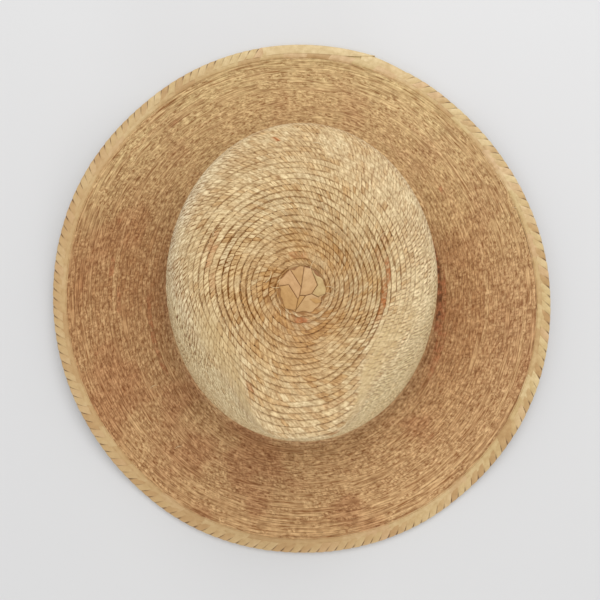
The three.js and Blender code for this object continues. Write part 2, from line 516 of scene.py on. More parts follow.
class Bench:
    """Short ways to place and wire the nodes of one tree."""

    def __init__(self, tree: Tree) -> None:
        """Takes the tree that is worked on."""
        self.tree = tree

    def add(self, kind: str, settings: dict | None = None, inputs: dict | None = None) -> Node:
        """Places one node.

        Args:
            kind: The node's type name.
            settings: Properties to set on it.
            inputs: Values or sockets by input name or number.

        Returns:
            The node.
        """
        node = self.tree.nodes.new(kind)
        for key, value in (settings or {}).items():
            setattr(node, key, value)
        for key, value in (inputs or {}).items():
            if isinstance(value, Socket):
                self.tree.links.new(value, node.inputs[key])
            else:
                node.inputs[key].default_value = value
        return node

    def math(self, operation: str, first: Socket | float, second: Socket | float = 0.0) -> Socket:
        """One sum of two numbers."""
        return self.add("ShaderNodeMath", {"operation": operation}, {0: first, 1: second}).outputs[0]

    def times(self, *factors: Socket | float) -> Socket:
        """The product of numbers, taken in order.

        Args:
            factors: Two or more numbers.

        Returns:
            The product.
        """
        product = factors[0]
        for factor in factors[1:]:
            product = self.math("MULTIPLY", product, factor)
        return product

    def vector(self, operation: str, first: Socket, second: Socket | Triple) -> Node:
        """One sum of two vectors."""
        return self.add("ShaderNodeVectorMath", {"operation": operation}, {0: first, 1: second})

    def chance(self, number: Socket) -> Socket:
        """A random value, 0 to 1, for each number."""
        return self.add("ShaderNodeTexWhiteNoise", {"noise_dimensions": "1D"}, {"W": number}).outputs["Value"]

    def wire(self, target: Node, sockets: dict[str, Socket]) -> None:
        """Links sockets to the inputs of a node, by the inputs' names."""
        for label, socket in sockets.items():
            self.tree.links.new(socket, target.inputs[label])

    def attribute(self, label: str) -> Socket:
        """A named value of the mesh."""
        return self.add("ShaderNodeAttribute", {"attribute_name": label}).outputs["Fac"]

    def remap(self, value: Socket, low: float, high: float, start: float = 0.0, end: float = 1.0) -> Socket:
        """Softly maps low to high onto start to end, held at both."""
        inputs = {"Value": value, "From Min": low, "From Max": high, "To Min": start, "To Max": end}
        return self.add("ShaderNodeMapRange", {"interpolation_type": "SMOOTHSTEP"}, inputs).outputs["Result"]

    def mix(
        self, share: Socket | float, first: Socket | Colour, second: Socket | Colour, blend: str = "MIX"
    ) -> Socket:
        """Mixes as much of a second colour into a first one as the share says."""
        settings = {"data_type": "RGBA", "blend_type": blend}
        return self.add("ShaderNodeMix", settings, {0: share, 6: first, 7: second}).outputs[2]

    def ramp(self, share: Socket, stops: tuple[tuple[float, Colour], ...]) -> Socket:
        """Reads a colour from a row of stops.

        Args:
            share: Where to read, 0 to 1.
            stops: Places and their colours.

        Returns:
            The colour.
        """
        node = self.add("ShaderNodeValToRGB", None, {"Fac": share})
        band = node.color_ramp.elements
        while len(band) < len(stops):
            band.new(0.5)
        for element, (place, colour) in zip(band, stops, strict=True):
            element.position = place
            element.color = colour
        return node.outputs["Color"]

    def noise(self, place: Socket, scale: float, detail: float = 2.0, roughness: float = 0.5) -> Socket:
        """Soft random values, 0 to 1, at a scale."""
        inputs = {"Vector": place, "Scale": scale, "Detail": detail, "Roughness": roughness}
        return self.add("ShaderNodeTexNoise", None, inputs).outputs["Fac"]

    def stretch(self, place: Socket, along: float, across: float) -> Socket:
        """Scales a flat place by a different amount each way."""
        return self.vector("MULTIPLY", place, (along, across, 1.0)).outputs[0]

    def group(self, tree: Tree, inputs: dict) -> Node:
        """Places a node group with its own values."""
        return self.add("ShaderNodeGroup", {"node_tree": tree}, inputs)


def start_group(
    name: str, kind: str, inputs: dict[str, str], outputs: dict[str, str]
) -> tuple[Bench, Sockets, Node]:
    """Starts a node group with named sockets.

    Args:
        name: The group's name.
        kind: The type of tree.
        inputs: Socket types by input name.
        outputs: Socket types by output name.

    Returns:
        The bench, the sockets that give the inputs and the node that takes the outputs.
    """
    tree = bpy.data.node_groups.new(name, kind)
    for label, socket in inputs.items():
        tree.interface.new_socket(label, in_out="INPUT", socket_type=socket)
    for label, socket in outputs.items():
        tree.interface.new_socket(label, in_out="OUTPUT", socket_type=socket)
    bench = Bench(tree)
    return bench, bench.add("NodeGroupInput").outputs, bench.add("NodeGroupOutput")


VECTOR = "NodeSocketVector"
FLOAT = "NodeSocketFloat"
WHOLE = "NodeSocketInt"
GEOMETRY = "NodeSocketGeometry"
OBJECT = "NodeSocketObject"
MATERIAL = "NodeSocketMaterial"


class StrawEffects:
    """Shader groups that the straw finishes share.

    A noise is given as its scale, detail and roughness, and a range as the values that become 0 and 1,
    with what they become instead where it has four numbers.
    """

    run_noise = (1.0, 2.0, 0.6)
    sliver_noise = (1.0, 4.0, 0.7)
    tear_stretch = (0.9, 3.1)
    tear_noise = (1.0, 2.0, 0.5)
    tear_middle = 0.5
    tear_reach = 0.35
    fray_stretch = (0.6, 0.0)
    fray_noise = (1.0, 3.0, 0.65)
    fray_middle = 0.45
    smooth_noise = (0.2, 1.0, 0.4)
    smooth_range = (0.56, 0.66)
    edge_range = (0.0, 0.6)
    groove_range = (0.1, 0.6, 0.35, 1.0)
    dot_range = (1.0, 1.7)
    highlight_range = (0.06, 0.2)
    fine_stretch = (1.0, 0.09)
    fine_noise = (1.0, 3.0, 0.6)
    fine_share = 0.6
    broad_stretch = (0.22, 0.05)
    broad_noise = (1.0, 2.0, 0.5)
    blotches = {
        "Wide": ((22.0, 2.0, 0.5), (0.3, 0.7)),
        "Patch": ((70.0, 2.0, 0.5), (0.35, 0.65)),
        "Small": ((260.0, 3.0, 0.6), (0.3, 0.7)),
    }

    def __init__(self) -> None:
        """Builds each group once."""
        self.strip_weave = self.make_strip_weave()
        self.leaf_grain = self.make_leaf_grain()
        self.blotch = self.make_blotch()
        self.bearing = self.make_bearing()

    def near_edge(self, bench: Bench, distance: Socket, width: Socket) -> Socket:
        """How near a place is to an edge, 1 beside it and softly 0 at a width from it."""
        share = bench.math("DIVIDE", distance, width)
        return bench.remap(bench.math("SUBTRACT", 1.0, share), *self.edge_range)

    def make_strip_weave(self) -> Tree:
        """The plaited strips of a braid, read from its UV map: strip number by share across the row.

        Returns:
            A group that gives the tones of single strips, of runs along a row and of slivers of leaf,
            and masks of the grooves between strips, the seams between rows and the dots where they meet,
            which the braid finishes fill with painted shade, of the strips' middles, which they light with
            a painted highlight, and of the long smooth runs.
        """
        bench, given, taken = start_group(
            "strip_weave",
            "ShaderNodeTree",
            {"Strips": VECTOR, "Slivers": VECTOR, **dict.fromkeys(("Run", "Groove", "Seam", "Fray"), FLOAT)},
            dict.fromkeys(
                ("Strip", "Row Run", "Sliver", "Grooves", "Seams", "Dots", "Middles", "Smooth Runs"), FLOAT
            ),
        )
        strips = given["Strips"]
        parts = bench.add("ShaderNodeSeparateXYZ", None, {0: strips})
        along = parts.outputs["X"]
        across = parts.outputs["Y"]
        in_run = bench.math("DIVIDE", along, given["Run"])
        run_place = bench.add("ShaderNodeCombineXYZ", None, {"X": in_run}).outputs[0]
        slim = bench.vector("MULTIPLY", strips, given["Slivers"]).outputs[0]
        tear = bench.noise(bench.stretch(strips, *self.tear_stretch), *self.tear_noise)
        torn = bench.math("SUBTRACT", tear, self.tear_middle)
        in_strip = bench.math("PINGPONG", along, 0.5)
        beside = bench.math("ADD", in_strip, bench.times(torn, self.tear_reach))
        groove = self.near_edge(bench, beside, given["Groove"])
        groove = bench.times(groove, bench.remap(across, *self.groove_range))
        fray = bench.noise(bench.stretch(strips, *self.fray_stretch), *self.fray_noise)
        frayed = bench.times(bench.math("SUBTRACT", fray, self.fray_middle), given["Fray"])
        in_row = bench.math("PINGPONG", across, 0.5)
        seam = self.near_edge(bench, bench.math("ADD", in_row, frayed), given["Seam"])
        bench.wire(taken, {
            "Strip": bench.chance(bench.math("FLOOR", along)),
            "Row Run": bench.noise(run_place, *self.run_noise),
            "Sliver": bench.noise(slim, *self.sliver_noise),
            "Grooves": groove,
            "Seams": seam,
            "Dots": bench.remap(bench.math("ADD", groove, seam), *self.dot_range),
            "Middles": bench.remap(bench.times(in_strip, in_row), *self.highlight_range),
            "Smooth Runs": bench.remap(bench.noise(run_place, *self.smooth_noise), *self.smooth_range),
        })
        return bench.tree

    def make_leaf_grain(self) -> Tree:
        """The fine ribs of a dried palm leaf, along the second direction of the place it is given.

        Returns:
            A group that gives streaks and a height, both 0 to 1.
        """
        inputs = {"Leaf": VECTOR, "Ribs": FLOAT}
        outputs = {"Streak": FLOAT, "Height": FLOAT}
        bench, given, taken = start_group("leaf_grain", "ShaderNodeTree", inputs, outputs)
        scaled = {0: given["Leaf"], "Scale": given["Ribs"]}
        ribs = bench.add("ShaderNodeVectorMath", {"operation": "SCALE"}, scaled).outputs[0]
        fine = bench.noise(bench.stretch(ribs, *self.fine_stretch), *self.fine_noise)
        broad = bench.noise(bench.stretch(ribs, *self.broad_stretch), *self.broad_noise)
        rest = bench.times(broad, 1 - self.fine_share)
        streak = bench.math("ADD", bench.times(fine, self.fine_share), rest)
        bench.wire(taken, {"Streak": streak, "Height": fine})
        return bench.tree

    def make_blotch(self) -> Tree:
        """Uneven tanning from the sun and from handling; the same clouds also break up the painted shade of
        the braid's crevices and the painted shadow beside the crown.

        Returns:
            A group that gives wide areas, patches and small spots, each 0 to 1.
        """
        outputs = dict.fromkeys(self.blotches, FLOAT)
        bench, given, taken = start_group("blotch", "ShaderNodeTree", {"Place": VECTOR}, outputs)
        for label, (noise, spread) in self.blotches.items():
            cloud = bench.noise(given["Place"], *noise)
            bench.wire(taken, {label: bench.remap(cloud, *spread)})
        return bench.tree

    def make_bearing(self) -> Tree:
        """Which side of the hat a place is on.

        Returns:
            A group that gives 1 on the side that Toward points to and 0 opposite.
        """
        inputs = {"Place": VECTOR, "Toward": VECTOR}
        bench, given, taken = start_group("bearing", "ShaderNodeTree", inputs, {"Share": FLOAT})
        level = bench.vector("MULTIPLY", given["Place"], (1.0, 1.0, 0.0)).outputs[0]
        ahead = bench.add("ShaderNodeVectorMath", {"operation": "NORMALIZE"}, {0: level}).outputs[0]
        cosine = bench.vector("DOT_PRODUCT", ahead, given["Toward"]).outputs["Value"]
        bench.wire(taken, {"Share": bench.math("ADD", bench.times(cosine, 0.5), 0.5)})
        return bench.tree


class MaterialBench(Bench):
    """The bench of one material with a Principled shader."""

    def __init__(self, name: str) -> None:
        """Starts the material.

        Args:
            name: The material's name.
        """
        self.material = bpy.data.materials.new(name)
        self.material.use_nodes = True
        super().__init__(self.material.node_tree)
        self.shader = self.tree.nodes["Principled BSDF"]


WHITE = tone(255, 255, 255)
ROUGH_STREAKS = (0.2, 0.8)
ROUGH_SPREAD = 0.08
BUMP_STRENGTH = 0.5


class StrawBench(MaterialBench):
    """The bench of one straw finish, with what its colours are read from."""

    def __init__(self, finish: "BraidFinish | LeafFinish", effects: StrawEffects) -> None:
        """Starts the material.

        Args:
            finish: The finish.
            effects: The shader groups that finishes share.
        """
        super().__init__(finish.name)
        self.finish = finish
        self.effects = effects
        self.strips = self.add("ShaderNodeUVMap", {"uv_map": "strips"}).outputs["UV"]
        self.place = self.add("ShaderNodeTexCoord").outputs["Object"]
        self.grain = self.group(effects.leaf_grain, {"Leaf": self.strips, "Ribs": finish.ribs}).outputs
        self.blotch = self.group(effects.blotch, {"Place": self.place}).outputs

    def toward(self, direction: Triple) -> Socket:
        """How far a place lies on the side that a direction points to, 0 to 1."""
        return self.group(self.effects.bearing, {"Place": self.place, "Toward": direction}).outputs["Share"]

    def spotted(self, colour: Socket) -> Socket:
        """The colour with small darker spots."""
        spots = self.mix(self.blotch["Small"], self.finish.spot_tint, WHITE)
        return self.mix(1.0, colour, spots, "MULTIPLY")

    def dress(self, colour: Socket, height: Socket) -> Material:
        """Ends the material, with a roughness that follows the leaf's ribs.

        Args:
            colour: The colour.
            height: The fine relief.

        Returns:
            The material.
        """
        middle = self.finish.roughness
        rough = self.remap(self.grain["Streak"], *ROUGH_STREAKS, middle + ROUGH_SPREAD, middle - ROUGH_SPREAD)
        relief = {"Strength": BUMP_STRENGTH, "Distance": self.finish.relief * MM, "Height": height}
        bump = self.add("ShaderNodeBump", None, relief).outputs["Normal"]
        self.wire(self.shader, {"Base Color": colour, "Roughness": rough, "Normal": bump})
        self.shader.inputs["Specular IOR Level"].default_value = self.finish.gloss
        return self.material


class BraidBench(StrawBench):
    """The bench of one braid, with the masks of its strips, rows, zones and sides."""

    def __init__(self, finish: "BraidFinish", effects: StrawEffects) -> None:
        """Starts the material.

        Args:
            finish: The finish.
            effects: The shader groups that finishes share.
        """
        super().__init__(finish, effects)
        self.zone = self.attribute("zone")
        self.stain = self.attribute("stain")
        self.back = self.toward(finish.back_toward)
        self.weave = self.group(effects.strip_weave, {
            "Strips": self.strips,
            "Slivers": finish.slivers,
            "Run": finish.run,
            "Groove": finish.groove_width,
            "Seam": finish.seam_width,
            "Fray": finish.fray,
        }).outputs


@dataclass(frozen=True)
class SideTint:
    """A colour that one side of the hat leans to; some stand for the leaves' own tone there and some are
    painted light and painted shade.

    It says which way, how much at most, and between which zones and sides the colour comes in.
    """

    toward: Triple
    share: float
    colour: Colour
    zones: Pair = (-0.1, 0.0)
    sides: Pair = (0.45, 0.95)


@dataclass(frozen=True)
class BraidFinish:
    """Palm-leaf braid: leaf colours, how much they vary, and how dark the painted shade in its crevices is.

    seam_zones are the zones between which the seams fade from their full share to seam_far, while
    the light leaves grow from light_near and the dark leaves fade to dark_far. seam_back and
    seam_front are the shares that are left at the back and front of the hat, seam_smooth is the
    share that is left on smooth patches, which patch_share makes paler, and seam_broken the share
    that is left where the line of a row breaks off. groove_wall is how much stronger the grooves
    are on a wall. relief is in millimetres.
    """

    name: str
    zones: tuple[tuple[float, Colour], ...]
    dark_leaf: Colour
    light_leaf: Colour
    red_leaf: Colour
    shade: Colour
    pit_shade: Colour
    tints: tuple[SideTint, ...]
    back_toward: Triple
    run: float
    run_share: float
    strip_share: float
    sliver_share: float
    slivers: Triple
    red_from: float
    groove_width: float
    groove_share: float
    highlight_share: float
    smooth_share: float
    seam_width: float
    seam_share: float
    seam_zones: Pair
    seam_far: float
    seam_back: float
    seam_smooth: float
    fray: float
    patch_share: float
    roughness: float
    light_near: float = 1.0
    dark_far: float = 1.0
    ruddy_share: float = 0.0
    groove_wall: float = 1.0
    seam_front: float = 1.0
    seam_broken: float = 0.6
    dot_share: float = 1.0
    relief: float = 0.15
    gloss: float = 0.22
    pressed_toward: tuple[Triple, ...] = ()
    pressed_zones: tuple[float, float, float, float] = (0.38, 0.43, 0.5, 0.58)
    pressed_tint: Colour = tone(204, 177, 128)

    # Values at which a mask starts and is full, and what it then is where there are four
    dented_sides = (0.89, 0.98)
    light_runs = (0.5, 0.72)
    dark_runs = (0.48, 0.26)
    dark_strips = (0.55, 1.0)
    light_strips = (0.45, 0.0)
    highlit_strips = (0.1, 0.9)
    worn_patches = (0.6, 0.1)
    paled_stains = (0.0, -1.0, 0.0, 0.8)
    red_stains = (0.0, 1.0)
    red_spots = (0.1, 0.8, 0.25, 0.95)
    painted_shadow_shares = (1.0, 2.0)
    shadow_spots = (0.9, 0.2)
    ruddy_areas = (0.55, 0.1)
    ruddy_sides = (0.2, 0.9, 1.2, 0.5)
    back_sides = (0.6, 1.0)
    front_sides = (0.0, 0.35)
    first_rows = (0.04, 0.14, 1.4, 1.0)
    rough_patches = (0.1, 0.8)
    broken_spots = (0.3, 0.8)
    wall_zones = (0.5, 0.64)
    pressed_runs = (0.3, 0.7, 0.3, 0.75)
    deep_strips = (0.35, 0.7)
    deep_crevices = (0.1, 0.5)

    # Single shares and tints of the mix
    red_fade = 0.05
    red_share = 0.8
    smooth_pale = 0.6
    closed_weave = 0.45
    pressed_crevices = 0.65
    ribs = 7.0
    spot_tint = tone(228, 222, 214)
    sliver_tints = ((0.34, tone(158, 122, 82)), (0.6, WHITE))

    def pressed(self, bench: BraidBench) -> Socket | None:
        """Where the block pressed the rows flat and smooth.

        Args:
            bench: The material's bench.

        Returns:
            The share that is pressed, or none where the finish has no dents.
        """
        found = None
        for toward in self.pressed_toward:
            share = bench.remap(bench.toward(toward), *self.dented_sides)
            found = share if found is None else bench.math("MAXIMUM", found, share)
        if found is None:
            return None
        first, full, fading, last = self.pressed_zones
        window = bench.times(bench.remap(bench.zone, first, full), bench.remap(bench.zone, last, fading))
        return bench.times(found, window)

    def tinted(self, bench: BraidBench) -> Socket:
        """The leaves' colour by zone and by side, with the painted light and painted shade that some tints
        and zones hold.

        Args:
            bench: The material's bench.

        Returns:
            The colour.
        """
        colour = bench.ramp(bench.zone, self.zones)
        for tint in self.tints:
            share = bench.remap(bench.toward(tint.toward), *tint.sides, 0.0, tint.share)
            share = bench.times(share, bench.remap(bench.zone, *tint.zones))
            colour = bench.mix(share, colour, tint.colour)
        return colour

    def leaf_colour(self, bench: BraidBench) -> Socket:
        """Colours of the leaves before the painted crevice shade darkens them, with painted highlights on
        the strips' middles and painted shadow on stretches above a share of one.

        Args:
            bench: The material's bench.

        Returns:
            The colour.
        """
        near, far = self.seam_zones
        zone = bench.zone
        weave = bench.weave
        blotch = bench.blotch
        stain = bench.stain
        colour = self.tinted(bench)
        pale = bench.remap(zone, near, far, self.light_near, 1.0)
        light_run = bench.remap(weave["Row Run"], *self.light_runs, 0.0, self.run_share)
        colour = bench.mix(bench.times(light_run, pale), colour, self.light_leaf)
        dark_run = bench.remap(weave["Row Run"], *self.dark_runs, 0.0, self.run_share)
        dark_strip = bench.remap(weave["Strip"], *self.dark_strips, 0.0, self.strip_share)
        dark = bench.math("MAXIMUM", dark_run, dark_strip)
        dark = bench.times(dark, bench.remap(zone, near, far, 1.0, self.dark_far))
        colour = bench.mix(dark, colour, self.dark_leaf)
        light_strip = bench.remap(weave["Strip"], *self.light_strips, 0.0, self.strip_share)
        # Painted highlight on the middle of some strips, where the rounded top of a strip would catch the
        # light
        highlight = bench.remap(weave["Strip"], *self.highlit_strips, self.highlight_share, 0.0)
        worn = bench.remap(blotch["Patch"], *self.worn_patches, 0.0, self.patch_share)
        for paler in (
            bench.times(light_strip, blotch["Wide"]),
            bench.times(weave["Smooth Runs"], self.smooth_share * self.smooth_pale, pale),
            bench.times(weave["Middles"], highlight),
            bench.times(worn, pale),
            bench.remap(stain, *self.paled_stains),
        ):
            colour = bench.mix(paler, colour, self.light_leaf)
        red = bench.remap(weave["Row Run"], self.red_from, self.red_from - self.red_fade, 0.0, self.red_share)
        red = bench.math("MAXIMUM", red, bench.remap(stain, *self.red_stains))
        red = bench.times(red, bench.remap(blotch["Small"], *self.red_spots))
        colour = bench.mix(red, colour, self.red_leaf)
        # Painted shadow: stretches whose share is above one darken, in spots, to the crevice shade colour
        dark = bench.remap(blotch["Small"], *self.shadow_spots)
        dark = bench.times(bench.remap(stain, *self.painted_shadow_shares), dark)
        colour = bench.mix(dark, colour, self.shade)
        ruddy = bench.times(bench.remap(blotch["Wide"], *self.ruddy_areas), self.ruddy_share)
        ruddy = bench.times(ruddy, bench.remap(bench.back, *self.ruddy_sides))
        return bench.mix(ruddy, colour, self.red_leaf)

    def crevice_shade(self, bench: BraidBench) -> Socket:
        """Where painted shade darkens the crevices of the braid: the seams between rows and the grooves
        between strips.

        Args:
            bench: The material's bench.

        Returns:
            The share of painted shade.
        """
        near, far = self.seam_zones
        zone = bench.zone
        weave = bench.weave
        patch = bench.blotch["Patch"]
        by_zone = bench.remap(zone, near, far, self.seam_share, self.seam_far)
        by_back = bench.remap(bench.back, *self.back_sides, 1.0, self.seam_back)
        by_front = bench.remap(bench.back, *self.front_sides, self.seam_front, 1.0)
        by_side = bench.times(by_back, by_front)
        broken = bench.times(bench.blotch["Small"], bench.remap(zone, *self.first_rows))
        by_patch = bench.times(
            bench.remap(patch, *self.rough_patches, self.seam_smooth, 1.0),
            bench.remap(broken, *self.broken_spots, 1.0, self.seam_broken),
        )
        seam = bench.times(weave["Seams"], bench.times(by_zone, by_side), by_patch)
        closed = self.closed_weave * self.groove_share
        open_weave = bench.times(bench.remap(patch, 0.0, 1.0, closed, self.groove_share), by_side)
        rough_rows = bench.remap(weave["Smooth Runs"], 0.0, 1.0, 1.0, 1.0 - self.smooth_share)
        on_wall = bench.remap(zone, *self.wall_zones, 1.0, self.groove_wall)
        between = bench.times(weave["Grooves"], open_weave, rough_rows, on_wall)
        return bench.math("MAXIMUM", seam, between)

    def material(self, effects: StrawEffects) -> Material:
        """Builds the material.

        Args:
            effects: The shader groups that it shares with other finishes.

        Returns:
            The material.
        """
        bench = BraidBench(self, effects)
        weave = bench.weave
        colour = bench.spotted(self.leaf_colour(bench))
        slivers = bench.ramp(weave["Sliver"], self.sliver_tints)
        colour = bench.mix(self.sliver_share, colour, slivers, "MULTIPLY")
        crevice_shade = self.crevice_shade(bench)
        pressed = self.pressed(bench)
        if pressed is not None:
            uneven = bench.times(pressed, bench.remap(weave["Row Run"], *self.pressed_runs))
            colour = bench.mix(uneven, colour, self.pressed_tint)
            crevice_shade = bench.times(crevice_shade, bench.remap(pressed, 0.0, 1.0, 1.0, self.pressed_crevices))
        # Painted shade in the crevices between rows and strips
        colour = bench.mix(crevice_shade, colour, self.shade)
        # Deeper painted shade in the dots where seams and grooves meet
        deep_shade = bench.times(
            weave["Dots"],
            bench.remap(weave["Strip"], *self.deep_strips, 0.0, self.dot_share),
            bench.remap(crevice_shade, *self.deep_crevices),
        )
        return bench.dress(bench.mix(deep_shade, colour, self.pit_shade), weave["Sliver"])


@dataclass(frozen=True)
class LeafFinish:
    """Smooth leaf strips laid one by one, each with a tone of its own.

    notch is how dark the painted shade in the crevice beside the next leaf is, on leaves that are folded over
    an edge, and tan_share how much the leaves take on the darker tan colour on the side that tan_toward
    points to.
    relief is in millimetres.
    """

    name: str
    tones: tuple[tuple[float, Colour], ...]
    shade: Colour
    ribs: float
    roughness: float
    notch: float = 0.0
    tan: Colour = tone(184, 146, 98)
    tan_toward: Triple = (-1.0, 0.0, 0.0)
    tan_share: float = 0.0
    relief: float = 0.1
    gloss: float = 0.45

    # Values at which a mask starts and is full, and what it then is where there are four
    stained_areas = (0.5, 1.0, 0.0, 0.25)
    tan_sides = (0.2, 0.8)
    notch_widths = (0.0, 1.0, 0.3, 0.4)
    notch_starts = (0.05, 0.4)

    # Single shares and tints of the mix
    notch_edge = 0.1
    notch_stray = -0.35
    leaf_spread = 97.0
    streak_share = 0.8
    notch_tint = tone(92, 58, 24)
    spot_tint = tone(236, 230, 220)
    streak_tints = ((0.25, tone(222, 212, 196)), (0.7, WHITE))

    def material(self, effects: StrawEffects) -> Material:
        """Builds the material.

        Args:
            effects: The shader groups that it shares with other finishes.

        Returns:
            The material.
        """
        bench = StrawBench(self, effects)
        leaf = bench.attribute("leaf")
        colour = bench.spotted(bench.ramp(leaf, self.tones))
        streak = bench.ramp(bench.grain["Streak"], self.streak_tints)
        colour = bench.mix(self.streak_share, colour, streak, "MULTIPLY")
        colour = bench.mix(bench.remap(bench.blotch["Wide"], *self.stained_areas), colour, self.shade)
        # Darker towards one side of the hat
        if self.tan_share:
            tan_mix = bench.remap(bench.toward(self.tan_toward), *self.tan_sides, 0.0, self.tan_share)
            colour = bench.mix(tan_mix, colour, self.tan)
        # Painted shade in the crevice beside the next folded leaf
        if self.notch:
            parts = bench.add("ShaderNodeSeparateXYZ", None, {0: bench.strips})
            spin = bench.chance(bench.times(leaf, self.leaf_spread))
            width = bench.remap(spin, *self.notch_widths)
            beside = bench.math("SUBTRACT", width, parts.outputs["X"])
            beside = bench.math("DIVIDE", beside, self.notch_edge)
            beside = bench.remap(beside, 0.0, 1.0, 0.0, self.notch)
            start = bench.math("ADD", parts.outputs["Y"], bench.times(spin, self.notch_stray))
            outside = bench.remap(start, *self.notch_starts)
            colour = bench.mix(bench.times(beside, outside), colour, self.notch_tint)
        return bench.dress(colour, bench.grain["Height"])


PALE_BRAID = BraidFinish(
    name="pale_braid",
    zones=(
        (0.0, tone(200, 152, 92)),
        (0.22, tone(226, 188, 128)),
        (0.35, tone(240, 214, 162)),
        (0.5, tone(237, 213, 164)),
        (0.9, tone(236, 213, 164)),
        (1.0, tone(206, 164, 110)),
    ),
    dark_leaf=tone(204, 157, 95),
    light_leaf=tone(244, 226, 182),
    red_leaf=tone(192, 120, 64),
    # Painted shade of the crevices, and deeper painted shade for the dots where they meet
    shade=tone(120, 72, 14),
    pit_shade=tone(76, 46, 10),
    tints=(
        # Paler at the back beyond the button: partly the straw's own paler tone, partly painted light on the
        # hollow's back slope, which faces away from the lamp at the back
        SideTint((0.0, 1.0, 0.0), 0.97, tone(248, 223, 172), (0.08, 0.24)),
        SideTint((0.0, 1.0, 0.0), 0.5, tone(216, 184, 134), (0.36, 0.46)),
        SideTint((0.1, -0.995, 0.0), 0.55, tone(232, 206, 158), (0.1, 0.26)),
        SideTint((0.0, -1.0, 0.0), 0.5, tone(248, 232, 194), (0.3, 0.42), (0.8, 0.98)),
        # Pale left wall: painted sheen where the steep wall catches the light
        SideTint((-0.95, 0.3, 0.0), 0.95, tone(250, 236, 200), (0.42, 0.58), (0.75, 0.97)),
        # Paler on the right from the flank down; on the wall this is a painted highlight, as on the left
        SideTint((1.0, 0.0, 0.0), 0.9, tone(248, 230, 188), (0.24, 0.54), (0.6, 0.97)),
        # Paler front-left and front-right walls: painted light for steep walls that face away from the lamp
        # at the back
        SideTint((-0.72, -0.694, 0.0), 0.9, tone(255, 238, 190), (0.54, 0.66), (0.7, 0.96)),
        SideTint((0.76, -0.65, 0.0), 1.0, tone(255, 239, 190), (0.54, 0.66), (0.7, 0.96)),
        SideTint((1.0, 0.0, 0.0), 0.35, tone(182, 130, 70), (0.24, 0.1), (0.7, 0.96)),
        SideTint((0.35, 0.937, 0.0), 0.6, tone(228, 190, 132), (0.24, 0.1)),
        SideTint((0.0, -1.0, 0.0), 0.3, tone(186, 134, 76), (0.22, 0.08), (0.75, 0.97)),
    ),
    back_toward=(0.0, 1.0, 0.0),
    run=9.0,
    run_share=0.5,
    strip_share=0.66,
    sliver_share=0.75,
    slivers=(2.3, 1.3, 1.0),
    light_near=0.5,
    dark_far=0.52,
    red_from=0.3,
    groove_width=0.155,
    groove_share=1.0,
    groove_wall=1.4,
    highlight_share=0.2,
    smooth_share=0.7,
    seam_width=0.2,
    seam_share=1.0,
    seam_zones=(0.35, 0.48),
    seam_far=0.6,
    seam_back=0.66,
    seam_front=0.48,
    seam_smooth=0.75,
    fray=0.4,
    patch_share=0.5,
    roughness=0.55,
    pressed_toward=((-0.72, -0.694, 0.0), (0.74, -0.673, 0.0)),
)

TOASTED_BRAID = BraidFinish(
    name="toasted_braid",
    zones=(
        # Darker on the bend up under the crown: partly the braid's tone, partly painted shade under the crown
        (0.0, tone(140, 96, 58)),
        (0.22, tone(160, 114, 72)),
        (0.29, tone(190, 142, 94)),
        (0.5, tone(206, 158, 106)),
        (1.0, tone(220, 174, 120)),
    ),
    dark_leaf=tone(176, 122, 72),
    light_leaf=tone(234, 198, 146),
    red_leaf=tone(186, 122, 78),
    # Painted shade of the crevices, and deeper painted shade for the dots where they meet
    shade=tone(116, 70, 28),
    pit_shade=tone(92, 56, 24),
    tints=(
        # Darker on the left: painted shade on the side away from the light, which falls from the back and
        # right
        SideTint((-0.99, -0.1, 0.0), 0.55, tone(178, 132, 88)),
        SideTint((0.74, -0.673, 0.0), 0.35, tone(188, 140, 92), (-0.1, 0.0), (0.7, 0.97)),
        # Paler at the right and the back: partly the braid's own paler tone, partly painted light from the
        # back and right
        SideTint((1.0, 0.0, 0.0), 0.4, tone(226, 188, 144), (0.4, 0.8)),
        SideTint((0.1, 0.995, 0.0), 0.52, tone(240, 218, 160)),
        SideTint((0.0, 1.0, 0.0), 0.7, tone(240, 220, 164), (0.5, 1.0)),
        # Paler at the front: painted light for the front of the brim, which dips away from the lamp at the
        # back
        SideTint((-0.15, -0.989, 0.0), 0.6, tone(242, 206, 152)),
    ),
    back_toward=(0.1, 0.995, 0.0),
    run=12.0,
    run_share=0.4,
    strip_share=0.25,
    sliver_share=1.0,
    slivers=(0.75, 2.3, 1.0),
    red_from=0.34,
    ruddy_share=0.35,
    groove_width=0.2,
    groove_share=0.35,
    highlight_share=0.3,
    smooth_share=0.8,
    seam_width=0.13,
    seam_share=0.6,
    seam_zones=(0.3, 0.9),
    seam_far=0.5,
    seam_back=0.55,
    seam_smooth=0.5,
    fray=0.45,
    patch_share=0.1,
    roughness=0.6,
)

EDGE_PLAIT = LeafFinish(
    name="edge_plait",
    tones=(
        (0.0, tone(196, 160, 110)),
        (0.25, tone(212, 182, 132)),
        (0.5, tone(218, 194, 142)),
        (0.78, tone(228, 206, 158)),
        (1.0, tone(220, 188, 144)),
    ),
    shade=tone(190, 150, 98),
    ribs=9.0,
    roughness=0.5,
    notch=0.95,
    # Darker towards the front-left
    tan_toward=(-0.8, -0.6, 0.0),
    tan_share=0.5,
)

SMOOTH_LEAF = LeafFinish(
    name="smooth_leaf",
    tones=(
        # Darkest tone, the disc's, seen in the gaps between the button's leaves: painted shade of those
        # creases
        (0.0, tone(158, 110, 54)),
        (0.1, tone(196, 152, 88)),
        (0.4, tone(202, 160, 104)),
        (0.72, tone(204, 176, 122)),
        (1.0, tone(210, 168, 118)),
    ),
    shade=tone(184, 140, 86),
    ribs=9.0,
    roughness=0.48,
)

